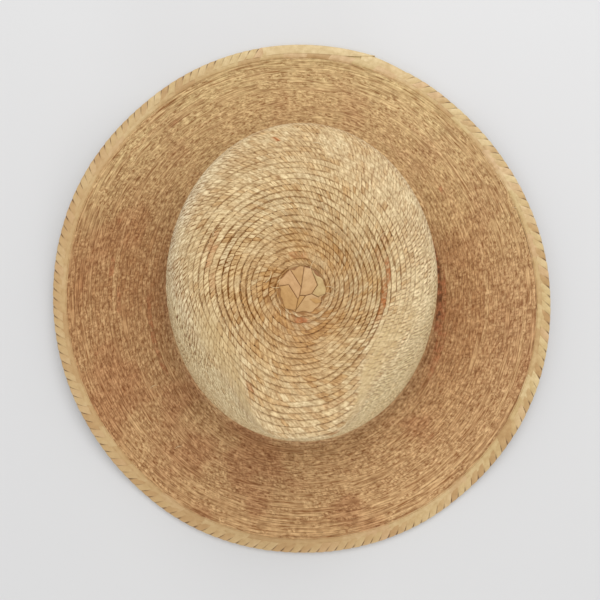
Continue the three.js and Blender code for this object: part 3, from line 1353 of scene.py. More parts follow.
SEWING_THREAD = LeafFinish(
    name="sewing_thread",
    tones=((0.0, tone(198, 160, 106)), (1.0, tone(220, 184, 132))),
    shade=tone(182, 144, 92),
    ribs=12.0,
    roughness=0.7,
)

LOOSE_FIBRE = LeafFinish(
    name="loose_fibre",
    tones=((0.0, tone(226, 196, 148)), (1.0, tone(240, 222, 182))),
    shade=tone(214, 180, 128),
    ribs=6.0,
    roughness=0.6,
)


@dataclass(frozen=True)
class BraidCorner:
    """One corner of a braid's section.

    across is a share of the row, rise is millimetres above the skin, and relief and ragged say how
    much the corner follows the strips' height and their uneven ends.
    """

    across: float
    rise: float
    relief: float
    ragged: float


@dataclass(frozen=True)
class RowStainAndShadow:
    """A stretch of one row that is redder, also darkened by painted shadow above a share of one, or paler
    below zero.

    row counts turns from the start, and bearing is the stretch's middle and span its length, both
    in degrees.
    """

    row: int
    bearing: float
    span: float
    share: float


@dataclass(frozen=True)
class SpiralBraid:
    """One long flat braid, sewn round and round so that each row laps over the next one out.

    Sizes are in millimetres. slant is how many strips the outer edge runs ahead of the inner one,
    anticlockwise, and warp widens the rows on the left and narrows them on the right. long_first
    and long_last are the shares of long strips at the start and at the end, and long_side is how
    many of them are left at the sides; their share grows by long_power. ragged and wander say how
    far the lip strays strip by strip and over several strips, as a share of the row, start_ragged
    how many times more at the start, and wobble how far whole rows sway, as a share of the way out.
    """

    row_width: float
    strip: float
    strip_spread: float
    long_strip: float
    long_first: float
    long_last: float
    long_side: float
    stretch: int
    slant: float
    warp: float
    groove: float
    crest: float
    wander: float
    section: tuple[BraidCorner, ...]
    stains_and_shadows: tuple[RowStainAndShadow, ...]
    seed: int
    winding: Winding = Winding.ANTICLOCKWISE
    ragged: float = 0.08
    start_ragged: float = 0.0
    wobble: float = 0.0
    wander_strips: int = 7
    crest_phase: float = 0.78
    turn_steps: int = 128
    end_trim: float = 0.05
    stretch_taper: float = 0.2
    crest_spread: float = 0.5
    long_spread: Pair = (0.6, 1.3)
    long_power: int = 3
    wobble_waves: int = 3
    wobble_drift: float = 15.0

    def build(self, skin: Skin) -> MeshParts:
        """Lays the braid over a skin.

        Args:
            skin: The surface that it covers.

        Returns:
            The braid as one closed shell.
        """
        rng = np.random.default_rng(self.seed)
        rows = round(skin.length / (self.row_width * MM))
        turn = np.linspace(self.end_trim, rows + 1 - self.end_trim, (rows + 1) * self.turn_steps)
        middle = 0.5 * (np.clip(turn - 1, 0, rows) + np.clip(turn, 0, rows)) / rows
        girth = skin.girth(middle)
        pace = 0.5 * (girth[1:] + girth[:-1]) * np.diff(turn)
        run = np.concatenate([[0.0], np.cumsum(pace)])
        starts, widths = self.strips(run, turn, rng)
        column_run = np.stack([starts, starts + self.crest_phase * widths], axis=1).ravel()
        column_run = np.append(column_run, run[-1])
        strip_count = len(starts)
        number = np.repeat(np.arange(strip_count), 2).astype(float)
        number[1::2] += self.crest_phase
        number = np.append(number, strip_count)
        height = np.tile([-self.groove, self.crest], strip_count)
        spread = rng.uniform(-self.crest_spread, self.crest_spread, strip_count)
        jitter = np.repeat(spread, 2) * self.crest
        height = np.append(height + jitter, -self.groove)
        knots = np.arange(0, strip_count + self.wander_strips, self.wander_strips)
        drift = np.interp(np.arange(strip_count), knots, rng.uniform(-1, 1, len(knots))) * self.wander
        stray = drift + rng.uniform(-1, 1, strip_count) * self.ragged
        column_turn = np.interp(column_run, run, turn)
        stray *= 1 + self.start_ragged * np.exp(-column_turn[:-1:2])
        ragged = np.append(np.repeat(stray, 2), 0.0)
        column_girth = np.interp(column_run, run, girth)
        return self.loft(skin, rows, column_turn, column_girth, number, height, ragged)

    def strips(
        self, run: Array, turn: Array, rng: np.random.Generator
    ) -> tuple[Array, Array]:
        """Cuts the braid's length into strips, with stretches of long ones here and there.

        Args:
            run: Lengths along the braid in metres.
            turn: Turns from the start at those lengths.
            rng: Source of chance.

        Returns:
            Each strip's start and width along the braid, in metres.
        """
        starts = []
        widths = []
        here = 0.0
        stretched = False
        while True:
            if len(starts) % self.stretch == 0:
                bearing = math.tau * float(np.interp(here, run, turn))
                grown = (here / run[-1]) ** self.long_power
                chance = self.long_first + (self.long_last - self.long_first) * grown
                chance *= self.long_side + (1 - self.long_side) * math.sin(bearing) ** 2
                stretched = rng.random() < chance
            if stretched:
                width = self.long_strip * rng.uniform(*self.long_spread) * MM
            else:
                width = self.strip * (1 + self.strip_spread * rng.uniform(-1, 1)) * MM
            if here + width >= run[-1]:
                return np.array(starts), np.array(widths)
            starts.append(here)
            widths.append(width)
            here += width

    def stained_and_shaded(self, turn: Array) -> Array:
        """How much redder, paler, or darkened by painted shadow the braid is.

        Args:
            turn: Places in turns from the start.

        Returns:
            One share for each place, as the stretches give it.
        """
        found = np.zeros_like(turn)
        for stain in self.stains_and_shadows:
            middle = stain.row + self.winding.value * stain.bearing / 360 % 1.0
            beside = np.abs(turn - middle) * 360 / stain.span
            found += stain.share * np.clip((0.5 - beside) / self.stretch_taper, 0, 1)
        return found

    def loft(
        self,
        skin: Skin,
        rows: int,
        turn: Array,
        girth: Array,
        number: Array,
        height: Array,
        ragged: Array,
    ) -> MeshParts:
        """Carries the section along the columns and closes both ends.

        Args:
            skin: The surface that the braid covers.
            rows: How many rows cover it.
            turn: Each column's place, in turns from the start.
            girth: Length once round at each column, in metres.
            number: Strip number at each column, with the share of the strip that lies behind it.
            height: Height of the strip at each column, in millimetres.
            ragged: How far the strip's end sticks out at each column, as a share of the row.

        Returns:
            The closed shell.
        """
        across, rise, relief, reach = np.array([astuple(corner) for corner in self.section]).T
        sign = self.winding.value
        lead = sign * self.slant * self.strip * MM * (across - 0.5)[None, :] / girth[:, None]
        place = turn[:, None] + lead
        inner = np.clip(place - 1, 0, rows)
        outer = np.clip(place, 0, rows)
        row = inner + (outer - inner) * (across[None, :] + ragged[:, None] * reach[None, :])
        angle = sign * math.tau * place
        share = row / rows
        wave = np.sin(self.wobble_waves * angle + self.wobble_drift * share)
        sway = self.wobble * wave - self.warp * np.cos(angle)
        share = share + sway * share * (1 - share)
        points, facing, zones = skin.sample(angle, share)
        lifted = rise[None, :] + height[:, None] * relief[None, :]
        points = points + facing * lifted[..., None] * MM
        flat = np.stack(np.broadcast_arrays(number[:, None], across[None, :]), axis=-1)
        stain = np.repeat(self.stained_and_shaded(turn), len(across))
        return replace(swept(points, flat), values={"zone": zones.ravel(), "stain": stain})


@dataclass
class SewnPart:
    """A part of the hat that is one braid sewn over a skin; crease is in degrees."""

    skin: Skin
    braid: SpiralBraid
    name: str
    slot: str
    node: str
    crease: float = 38.0

    def build(self, finish: Material) -> Piece:
        """Lays and dresses the braid.

        Args:
            finish: The braid's finish.

        Returns:
            The piece.
        """
        piece = make_object(self.name, self.braid.build(self.skin), self.crease)
        piece.data.materials.append(finish)
        settle(piece, self.slot, self.node)
        return piece


@dataclass
class Crown(SewnPart):
    """The crown: pale braid sewn from the button out over the rim and down to the brim."""

    braid: SpiralBraid = SpiralBraid(
        row_width=3.1,
        strip=2.75,
        strip_spread=0.3,
        long_strip=5.0,
        long_first=0.05,
        long_last=0.1,
        long_side=1.0,
        stretch=6,
        slant=1.05,
        warp=0.15,
        groove=0.09,
        crest=0.08,
        wander=0.2,
        wander_strips=5,
        start_ragged=2.0,
        wobble=0.016,
        stains_and_shadows=(
            RowStainAndShadow(14, 2.0, 22.0, 0.8),
            RowStainAndShadow(12, 343.0, 36.0, 0.9),
            RowStainAndShadow(13, 160.0, 24.0, 0.5),
            RowStainAndShadow(12, 170.0, 26.0, 0.5),
            RowStainAndShadow(11, 184.0, 22.0, 0.4),
            RowStainAndShadow(15, 22.0, 12.0, 0.5),
            RowStainAndShadow(13, 16.0, 14.0, 0.5),
            RowStainAndShadow(1, 268.0, 36.0, 0.9),
            RowStainAndShadow(2, 95.0, 40.0, 0.5),
            RowStainAndShadow(22, 101.0, 3.0, 0.9),
            RowStainAndShadow(15, 246.5, 7.0, 0.6),
            RowStainAndShadow(16, 284.0, 12.0, 0.4),
            RowStainAndShadow(21, 282.0, 6.0, 0.5),
            RowStainAndShadow(10, 162.0, 32.0, -0.8),
            RowStainAndShadow(9, 172.0, 20.0, -0.6),
            RowStainAndShadow(11, 74.0, 12.0, -0.6),
            RowStainAndShadow(15, 85.0, 24.0, -0.7),
            RowStainAndShadow(15, 270.0, 14.0, -0.7),
        ),
        section=(
            BraidCorner(-0.30, -0.54, 0.0, 0.0),
            BraidCorner(0.45, -0.04, 1.0, 0.0),
            BraidCorner(0.93, 0.08, 1.0, 1.0),
            BraidCorner(1.00, -0.30, 0.3, 1.0),
            BraidCorner(0.55, -1.50, 0.5, 0.0),
        ),
        seed=11,
    )
    name: str = "crown_braid"
    slot: str = "pale_braid"
    node: str = "crown"


@dataclass
class Brim(SewnPart):
    """The brim: toasted braid sewn from the bend at the crown out to the edge."""

    braid: SpiralBraid = SpiralBraid(
        row_width=2.8,
        strip=2.7,
        strip_spread=0.4,
        long_strip=13.0,
        long_first=0.03,
        long_last=0.8,
        long_side=0.2,
        stretch=2,
        slant=0.35,
        warp=0.0,
        groove=0.12,
        crest=0.1,
        wander=0.1,
        stains_and_shadows=(
            # Red, and dark above a share of one: painted shadow at the right foot of the crown, where its
            # wall overhangs the brim
            RowStainAndShadow(3, 4.0, 44.0, 1.8),
            RowStainAndShadow(3, 350.0, 46.0, 1.0),
            RowStainAndShadow(4, 336.0, 30.0, 0.7),
            RowStainAndShadow(15, 172.0, 8.0, 0.6),
            RowStainAndShadow(13, 182.0, 10.0, 0.6),
            RowStainAndShadow(6, 196.0, 40.0, 0.7),
            RowStainAndShadow(16, 272.0, 10.0, -0.8),
            RowStainAndShadow(22, 284.0, 9.0, -0.6),
        ),
        section=(
            BraidCorner(-0.30, -0.52, 0.0, 0.0),
            BraidCorner(0.45, 0.0, 1.0, 0.0),
            BraidCorner(0.90, 0.10, 1.0, 1.0),
            BraidCorner(1.00, -0.38, 0.3, 1.0),
            BraidCorner(0.55, -1.60, 0.5, 0.0),
        ),
        seed=29,
    )
    name: str = "brim_braid"
    slot: str = "toasted_braid"
    node: str = "brim"


@dataclass(frozen=True)
class LeafFacet:
    """One smooth leaf of the button: its corners, its height and the way its ribs run, in degrees."""

    corners: tuple[str, ...]
    lift: float
    ribs: float
    tone: float


@dataclass
class CrownButton:
    """The start of the braid at the tip: smooth leaves folded over one another on a low disc.

    Corners are in millimetres from the button's middle, to the right and to the back. Leaves whose
    corners lie within rim_band of the rim follow it with rim_waves, each given as its size, how many
    go round and where they start. sharpest limits how far a pointed corner is drawn in.
    """

    form: HatForm
    radius: float = 13.0
    dome: float = 0.8
    leaf: float = 0.5
    gap: float = 0.2
    shoulder: float = 0.7
    shoulder_share: float = 0.3
    shoulder_drop: float = 0.05
    edge_drop: float = 0.22
    middle_rise: float = 0.05
    rim_step: float = 8.0
    rim_band: float = 0.8
    rim_inset: float = 0.4
    rim_waves: tuple[Triple, ...] = ((0.7, 5.0, 0.6), (0.5, 11.0, 2.0))
    sharpest: float = 0.6
    disc_steps: int = 64
    # The disc takes the darkest leaf tone, which shows in the creases between the leaves as painted shade
    disc_tone: float = 0.0
    disc_profile: tuple[Pair, ...] = (
        (0.0, -2.0), (13.2, -2.0), (13.7, -1.6), (13.7, -0.7), (12.4, -0.3), (6.5, 0.1), (0.0, 0.3),
    )
    map_scale: float = 0.4
    crease: float = 35.0
    facets: tuple[LeafFacet, ...] = (
        LeafFacet(("spine_top", "back", "back_left"), 0.30, 105.0, 0.4),
        LeafFacet(("spine_top", "spine", "split", "fold_low", "fold", "fold_back", "back"), 0.42, 50.0, 0.95),
        LeafFacet(("fold_back", "fold", "fold_low", "notch", "right"), 0.22, -62.0, 0.72),
        LeafFacet(("spine", "spine_foot", "low", "split"), 0.16, -45.0, 0.1),
        LeafFacet(("tuck_in", "tuck_front", "tuck_right", "tuck_back"), 0.75, -20.0, 0.15),
        LeafFacet(("split", "low", "front", "front_right", "right", "notch", "fold_low"), 0.28, 20.0, 0.9),
        LeafFacet(("spine_foot", "inlet", "left", "front", "low"), 0.36, 128.0, 0.25),
        LeafFacet(("spine_top", "back_left", "left", "inlet", "spine_foot", "spine"), 0.12, 120.0, 1.0),
    )

    spots = {
        "spine_top": (-0.4, 1.5),
        "spine": (-1.3, -3.1),
        "spine_foot": (-2.2, -5.2),
        "low": (-3.4, -11.1),
        "inlet": (-7.3, 2.8),
        "split": (2.1, -3.1),
        "fold_low": (5.3, -2.2),
        "fold": (8.5, 2.6),
        "fold_back": (5.1, 11.8),
        "back": (1.2, 12.9),
        "back_left": (-6.6, 11.4),
        "left": (-12.9, 2.0),
        "front": (-3.6, -12.6),
        "front_right": (8.8, -9.3),
        "notch": (8.9, -4.0),
        "right": (12.8, -2.4),
        "tuck_in": (3.6, -4.9),
        "tuck_back": (8.4, -4.4),
        "tuck_right": (11.4, -6.6),
        "tuck_front": (7.6, -8.0),
    }

    def rounded(self, facet: LeafFacet) -> Array:
        """Outline of a facet, with its stretches along the button's rim rounded.

        Args:
            facet: The leaf.

        Returns:
            Points in millimetres, anticlockwise.
        """
        corners = [np.array(self.spots[name]) for name in facet.corners]
        turning = sum(
            here[0] * there[1] - here[1] * there[0]
            for here, there in zip(corners, corners[1:] + corners[:1], strict=True)
        )
        if turning < 0:
            corners.reverse()
        outline = []
        rim = self.radius - self.rim_band
        for here, there in zip(corners, corners[1:] + corners[:1], strict=True):
            outline.append(here)
            if min(np.hypot(*here), np.hypot(*there)) > rim:
                start = math.atan2(here[1], here[0])
                sweep = (math.atan2(there[1], there[0]) - start) % math.tau
                steps = max(1, round(math.degrees(sweep) / self.rim_step))
                reach = np.linspace(np.hypot(*here), np.hypot(*there), steps + 1)[1:-1]
                turn = start + np.linspace(0, sweep, steps + 1)[1:-1]
                reach = reach - self.rim_inset
                for size, waves, phase in self.rim_waves:
                    reach = reach + size * np.sin(waves * turn + phase)
                outline.extend(np.stack([reach * np.cos(turn), reach * np.sin(turn)], axis=1))
        return np.array(outline)

    def height(self, spot: Array) -> Array:
        """Height of the disc below the leaves at places in millimetres."""
        return self.dome * (1 - (np.hypot(spot[..., 0], spot[..., 1]) / self.radius) ** 2)

    def shrunk(self, outline: Array, inset: float) -> Array:
        """The outline drawn in by an inset, corner by corner.

        Args:
            outline: Points in millimetres, anticlockwise.
            inset: How far each side moves in.

        Returns:
            The smaller outline.
        """
        ahead = np.roll(outline, -1, axis=0) - outline
        ahead /= np.linalg.norm(ahead, axis=1, keepdims=True)
        inward = np.stack([-ahead[:, 1], ahead[:, 0]], axis=1)
        both = inward + np.roll(inward, 1, axis=0)
        size = np.maximum((both**2).sum(axis=1), self.sharpest)
        return outline + both * (2 * inset / size)[:, None]

    def leaf_parts(self, facet: LeafFacet) -> MeshParts:
        """One leaf as a low cushion-edged plate.

        Args:
            facet: The leaf.

        Returns:
            A closed shell in millimetres about the button's middle.
        """
        outline = self.rounded(facet)
        rings = [
            (self.shrunk(outline, self.gap), -self.leaf),
            (self.shrunk(outline, self.gap), facet.lift - self.edge_drop),
            (
                self.shrunk(outline, self.gap + self.shoulder_share * self.shoulder),
                facet.lift - self.shoulder_drop,
            ),
            (self.shrunk(outline, self.gap + self.shoulder), facet.lift),
        ]
        points = [np.column_stack([ring, self.height(ring) + lift]) for ring, lift in rings]
        middle = outline.mean(axis=0)
        count = len(outline)
        points.append(np.append(middle, self.height(middle) + facet.lift + self.middle_rise)[None])
        stacked = np.concatenate(points)
        top = (len(rings) - 1) * count
        faces: list[Face] = [tuple(range(count))[::-1]]
        faces += tube_faces(len(rings), count)
        faces += [(top + step, top + (step + 1) % count, len(stacked) - 1) for step in range(count)]
        way = math.radians(facet.ribs)
        across = -math.sin(way) * stacked[:, 0] + math.cos(way) * stacked[:, 1]
        along = math.cos(way) * stacked[:, 0] + math.sin(way) * stacked[:, 1]
        flat = np.stack([across, along], axis=1) * self.map_scale
        return MeshParts.mapped(stacked, faces, flat).toned(facet.tone)

    def disc_parts(self) -> MeshParts:
        """The disc that carries the leaves.

        Returns:
            A closed shell in millimetres about the button's middle.
        """
        steps = self.disc_steps
        turn = np.linspace(0, math.tau, steps, endpoint=False)
        round_once = np.column_stack([np.cos(turn), np.sin(turn)])
        (_, bottom), *rings, (_, top) = self.disc_profile
        points = [np.array([[0.0, 0.0, bottom]])]
        points += [np.column_stack([reach * round_once, np.full(steps, height)]) for reach, height in rings]
        stacked = np.concatenate([*points, np.array([[0.0, 0.0, top]])])
        last = len(stacked) - 1
        beside = [(step + 1) % steps for step in range(steps)]
        faces: list[Face] = [(0, 1 + beside[step], 1 + step) for step in range(steps)]
        faces += tube_faces(len(rings), steps, 1)
        faces += [(last - steps + step, last - steps + beside[step], last) for step in range(steps)]
        return MeshParts.mapped(stacked, faces, stacked[:, :2] * self.map_scale).toned(self.disc_tone)

    def build(self, finish: Material) -> Piece:
        """Folds and dresses the leaves.

        Args:
            finish: The smooth leaf.

        Returns:
            The button.
        """
        tip = self.form.sections[-1]
        parts = joined([self.disc_parts(), *(self.leaf_parts(facet) for facet in self.facets)])
        points = (parts.points + np.array([0.0, tip.setback, tip.height])) * MM
        piece = make_object("crown_button_leaves", replace(parts, points=points), self.crease)
        piece.data.materials.append(finish)
        settle(piece, "smooth_leaf", "crown_button")
        return piece


class Maker:
    """A Geometry Nodes tree that makes a piece from a guide mesh."""

    def __init__(self, name: str, inputs: dict[str, str]) -> None:
        """Starts the tree with its own inputs besides the guide and the finish."""
        sockets = {"Geometry": GEOMETRY, **inputs, "Finish": MATERIAL}
        self.bench, self.given, self.taken = start_group(
            name, "GeometryNodeTree", sockets, {"Geometry": GEOMETRY}
        )

    def close(self, geometry: Socket) -> None:
        """Ends the tree with plain meshes in the finish that it is given.

        Args:
            geometry: What the tree has made.
        """
        real = self.bench.add("GeometryNodeRealizeInstances", None, {"Geometry": geometry})
        inputs = {"Geometry": real.outputs["Geometry"], "Material": self.given["Finish"]}
        dressed = self.bench.add("GeometryNodeSetMaterial", None, inputs)
        self.bench.wire(self.taken, {"Geometry": dressed.outputs["Geometry"]})

    def bake(self, name: str, guide: Mesh, values: dict) -> Piece:
        """Runs the tree on a guide mesh and keeps the result as a plain mesh.

        Args:
            name: The piece's name.
            guide: The mesh that the tree works from.
            values: Input values by name; objects among them are removed afterwards.

        Returns:
            The piece.
        """
        carrier = put_in_scene(f"{name}_guide", guide)
        modifier = carrier.modifiers.new(self.bench.tree.name, "NODES")
        modifier.node_group = self.bench.tree
        for item in self.bench.tree.interface.items_tree:
            if item.in_out == "INPUT" and item.name in values:
                modifier[item.identifier] = values[item.name]
        graph = bpy.context.evaluated_depsgraph_get()
        graph.update()
        result = carrier.evaluated_get(graph)
        mesh = bpy.data.meshes.new_from_object(result, preserve_all_data_layers=True, depsgraph=graph)
        mesh.name = name
        carrier.modifiers.remove(modifier)
        models = [value for value in values.values() if isinstance(value, Piece)]
        for spent in (carrier, *models):
            bpy.data.objects.remove(spent, do_unlink=True)
        return put_in_scene(name, mesh)


class Scatter(Maker):
    """A maker that lays copies of one small mesh, each with a size and a tone of its own."""

    def __init__(self, name: str, inputs: dict[str, str]) -> None:
        """Starts the tree with its own inputs and those that every such maker has."""
        super().__init__(name, {"Copy": OBJECT, **inputs, "Spread": FLOAT, "Seed": WHOLE})

    def strew(self, points: Socket, rotation: Socket) -> None:
        """Puts a copy on each point and ends the tree.

        Args:
            points: Where the copies go.
            rotation: How each of them is turned.
        """
        add = self.bench.add
        spread = self.given["Spread"]
        seed = self.given["Seed"]
        low = self.bench.math("SUBTRACT", 1.0, spread)
        high = self.bench.math("ADD", 1.0, spread)
        size = add("FunctionNodeRandomValue", {"data_type": "FLOAT"}, {2: low, 3: high, "Seed": seed})
        copy = add("GeometryNodeObjectInfo", None, {"Object": self.given["Copy"]})
        placed = add("GeometryNodeInstanceOnPoints", None, {
            "Points": points,
            "Instance": copy.outputs["Geometry"],
            "Rotation": rotation,
            "Scale": size.outputs[1],
        })
        shade = add("FunctionNodeRandomValue", {"data_type": "FLOAT"}, {"Seed": seed})
        toned = add("GeometryNodeStoreNamedAttribute", {"data_type": "FLOAT", "domain": "INSTANCE"}, {
            "Geometry": placed.outputs["Instances"], "Name": "leaf", "Value": shade.outputs[1]})
        self.close(toned.outputs["Geometry"])

    def lay(
        self, name: str, guide: Mesh, copy: MeshParts, crease: float, values: dict
    ) -> Piece:
        """Lays copies along or over a guide as one piece."""
        model = make_object(f"{name}_copy", copy, crease)
        return self.bake(name, guide, {"Copy": model, **values})


class PathScatter(Scatter):
    """Lays copies along a path, evenly and upright."""

    def __init__(self) -> None:
        """Builds the tree."""
        super().__init__("path_scatter", {"Count": WHOLE})
        path = self.bench.add("GeometryNodeMeshToCurve", None, {"Mesh": self.given["Geometry"]})
        inputs = {"Curve": path.outputs["Curve"], "Count": self.given["Count"]}
        spaced = self.bench.add("GeometryNodeCurveToPoints", {"mode": "COUNT"}, inputs)
        facing = self.bench.add(
            "FunctionNodeAxesToRotation",
            {"primary_axis": "X", "secondary_axis": "Z"},
            {"Primary Axis": spaced.outputs["Tangent"], "Secondary Axis": (0.0, 0.0, 1.0)},
        )
        self.strew(spaced.outputs["Points"], facing.outputs["Rotation"])


class SurfaceScatter(Scatter):
    """Strews copies over a surface, each turned its own way."""

    def __init__(self) -> None:
        """Builds the tree."""
        super().__init__("surface_scatter", {"Density": FLOAT})
        seed = self.given["Seed"]
        add = self.bench.add
        strewn = add("GeometryNodeDistributePointsOnFaces", None, {
            "Mesh": self.given["Geometry"], "Density": self.given["Density"], "Seed": seed})
        turn = add("FunctionNodeRandomValue", {"data_type": "FLOAT"}, {3: math.tau, "Seed": seed})
        spin = add("ShaderNodeCombineXYZ", None, {"Z": turn.outputs[1]})
        turned = add("FunctionNodeRotateRotation", {"rotation_space": "LOCAL"}, {
            "Rotation": strewn.outputs["Rotation"],
            "Rotate By": add("FunctionNodeEulerToRotation", None, {"Euler": spin.outputs[0]}).outputs[0],
        })
        self.strew(strewn.outputs["Points"], turned.outputs["Rotation"])


class PathSweep(Maker):
    """Carries a closed section round a closed path and maps it by its lengths both ways."""

    def __init__(self) -> None:
        """Builds the tree."""
        super().__init__("path_sweep", {"Section": OBJECT, "Map Scale": FLOAT, "Tone": FLOAT})
        add = self.bench.add
        path = add("GeometryNodeMeshToCurve", None, {"Mesh": self.given["Geometry"]})
        level = add("GeometryNodeSetCurveNormal", {"mode": "Z_UP"}, {"Curve": path.outputs["Curve"]})
        section = add("GeometryNodeObjectInfo", None, {"Object": self.given["Section"]})
        outline = add("GeometryNodeMeshToCurve", None, {"Mesh": section.outputs["Geometry"]})
        along = self.measured(level.outputs["Curve"])
        across = self.measured(outline.outputs["Curve"])
        inputs = {"Curve": along.outputs["Geometry"], "Profile Curve": across.outputs["Geometry"]}
        tube = add("GeometryNodeCurveToMesh", None, inputs)
        lengths = {"X": across.outputs["Length"], "Y": along.outputs["Length"]}
        spot = add("ShaderNodeCombineXYZ", None, lengths)
        scaled = add("ShaderNodeVectorMath", {"operation": "SCALE"}, {
            0: spot.outputs[0], "Scale": self.given["Map Scale"]})
        mapped = add("GeometryNodeStoreNamedAttribute", {"data_type": "FLOAT2", "domain": "CORNER"}, {
            "Geometry": tube.outputs["Mesh"], "Name": "strips", "Value": scaled.outputs[0]})
        toned = add("GeometryNodeStoreNamedAttribute", {"data_type": "FLOAT", "domain": "POINT"}, {
            "Geometry": mapped.outputs["Geometry"], "Name": "leaf", "Value": self.given["Tone"]})
        self.close(toned.outputs["Geometry"])

    def measured(self, curve: Socket) -> Node:
        """Notes the length along a curve at each of its points.

        Args:
            curve: The curve.

        Returns:
            A node with the curve as its output Geometry and the lengths as its output Length.
        """
        length = self.bench.add("GeometryNodeSplineParameter").outputs["Length"]
        node = self.bench.add("GeometryNodeCaptureAttribute", None, {"Geometry": curve})
        node.capture_items.new("FLOAT", "Length")
        self.bench.wire(node, {"Length": length})
        return node


def line_mesh(name: str, points: Array, closed: bool) -> Mesh:
    """A mesh of points joined in a row.

    Args:
        name: The mesh's name.
        points: The points in metres.
        closed: Whether the last point joins the first.

    Returns:
        The mesh.
    """
    edges = [(step, step + 1) for step in range(len(points) - 1)]
    if closed:
        edges.append((len(points) - 1, 0))
    mesh = bpy.data.meshes.new(name)
    mesh.from_pydata(points.tolist(), edges, [])
    return mesh


@dataclass(frozen=True)
class LappedStrip:
    """One end of the plait where its two ends lap, in millimetres and degrees.

    The strip runs from the bearing first to last. Its inner side and its nose each start at a place
    out from the end of the braid and move by an amount, the faster towards the end the higher the
    power; drop lowers its upper face.
    """

    name: str
    first: float
    last: float
    inner: float
    inner_move: float
    inner_power: float
    nose: float
    nose_move: float
    nose_power: float
    drop: float


@dataclass
class BrimBinding:
    """The pale plait folded over the edge: a ring below, folded leaves outside, flat leaves inside.

    Sizes are in millimetres. Places are out from the end of the braid and up from the middle of
    its thickness. fold_sides are shares of a folded leaf's width with the heights there, band_section
    gives which end of a flat leaf a corner is at, how far it is set along and how high it is, and
    lap_heights go round the outside of a lapped end. Spreads are shares by which sizes vary.
    """

    form: HatForm
    scatter: PathScatter
    sweep: PathSweep
    steps: int = 240
    fold_pitch: float = 6.1
    fold_width: float = 7.6
    fold_slant: float = 0.9
    fold_leaf: float = 0.35
    fold_sway: float = 0.3
    fold_spread: float = 0.04
    fold_seed: int = 5
    fold_sides: tuple[Pair, ...] = ((-0.5, -0.15), (0.0, 0.3), (0.4, 0.55), (0.5, 0.4))
    fold_path: tuple[Pair, ...] = (
        (-5.0, 1.7), (-2.6, 1.85), (-0.5, 1.75), (0.55, 1.25), (0.95, 0.2),
        (0.65, -0.8), (-0.3, -1.35), (-2.6, -1.45), (-5.0, -1.35),
    )
    band_pitch: float = 16.5
    band_length: float = 19.0
    band_inner: float = -8.2
    band_outer: float = -3.4
    band_slant: float = 0.55
    band_arch: float = 0.75
    band_arch_rate: float = 2.5
    band_steps: int = 5
    band_spread: float = 0.015
    band_seed: int = 8
    band_section: tuple[Triple, ...] = (
        (-1.0, 0.0, 1.05), (1.0, -1.0, 1.3), (1.0, 0.0, 1.2), (1.0, 0.0, 0.9), (-1.0, 0.0, 0.75),
    )
    band_map: Pair = (2.0, 1.2)
    folds_from: float = 98.0
    folds_to: float = 65.0
    stitch_pitch: float = 4.7
    stitch_half: float = 2.5
    stitch_rise: float = 0.2
    stitch_dip: float = 0.25
    stitch_steps: int = 5
    stitch_corners: int = 6
    stitch_spread: float = 0.1
    stitch_seed: int = 3
    stitch_map: float = 2.0
    thread_half: float = 0.17
    sewing_in: float = 0.6
    sewing_up: float = 1.35
    ring_map: float = 0.15
    ring_tone: float = 0.5
    crease: float = 40.0
    ring_section: tuple[Pair, ...] = (
        (-7.6, -1.45), (-0.2, -1.45), (0.35, -1.0), (0.5, 0.0), (0.3, 1.0), (-0.2, 1.55),
        (-6.5, 1.55), (-7.8, 1.05), (-0.3, 1.05), (-0.3, -1.25), (-7.6, -1.25),
    )
    laps: tuple[LappedStrip, ...] = (
        LappedStrip("binding_first_end", 76.0, 64.0, -5.0, 0.0, 1.0, 2.5, -1.6, 1.1, 0.3),
        LappedStrip("binding_last_end", 99.0, 73.0, -5.0, 7.2, 4.9, 1.5, 1.2, 2.3, 0.0),
    )
    lap_steps: int = 36
    lap_shoulder: float = 1.1
    lap_heights: tuple[float, ...] = (2.15, 2.4, 2.3, 1.7, 0.4, -0.9, -1.5, -1.6, -1.5)
    lap_dropped: int = 3
    lap_inside: Pair = (0.82, 0.8)
    lap_map: Triple = (4.0, 6.0, 10.0)
    lap_tone: float = 0.75

    def build_ring(self, plait: Material) -> Piece:
        """Sweeps the folded ring that carries the leaves round the edge.

        Args:
            plait: Finish of the leaves.

        Returns:
            The ring.
        """
        out, up = np.array(self.ring_section[::-1]).T * MM
        outline = line_mesh("ring_section", np.column_stack([out, -up, np.zeros_like(out)]), True)
        section = put_in_scene("ring_section", outline)
        path = self.path(0.0, 0.0, 0.0, 360.0, self.steps)[:-1]
        map_scale = self.ring_map / MM
        values = {"Section": section, "Map Scale": map_scale, "Tone": self.ring_tone, "Finish": plait}
        return self.sweep.bake("binding_ring", line_mesh("ring_path", path, True), values)

    def folded_leaf(self) -> MeshParts:
        """One leaf folded over the edge on a slant: along the edge, in from it, and up, in metres.

        Returns:
            A closed shell whose leading side stands a little proud of the next leaf.
        """
        path = np.array(self.fold_path)
        hops = np.linalg.norm(np.diff(path, axis=0), axis=1)
        run = np.concatenate([[0.0], np.cumsum(hops)])
        ahead = np.gradient(path, axis=0)
        ahead /= np.linalg.norm(ahead, axis=1, keepdims=True)
        facing = np.stack([-ahead[:, 1], ahead[:, 0]], axis=1)
        sway = self.fold_sway * np.sin(np.pi * run / run[-1] * 2)
        corners = [(side, lift) for side, lift in self.fold_sides]
        corners += [(side, lift - self.fold_leaf) for side, lift in self.fold_sides[::-1]]
        rings = []
        uvs = []
        for side, lift in corners:
            spot = path + facing * lift
            shift = side * self.fold_width - self.fold_slant * run + sway
            rings.append(np.column_stack([shift, -spot[:, 0], spot[:, 1]]) * MM)
            uvs.append(np.column_stack([np.full(len(run), side + 0.5), run / self.fold_width]))
        return swept(np.stack(rings, axis=1), np.stack(uvs, axis=1))

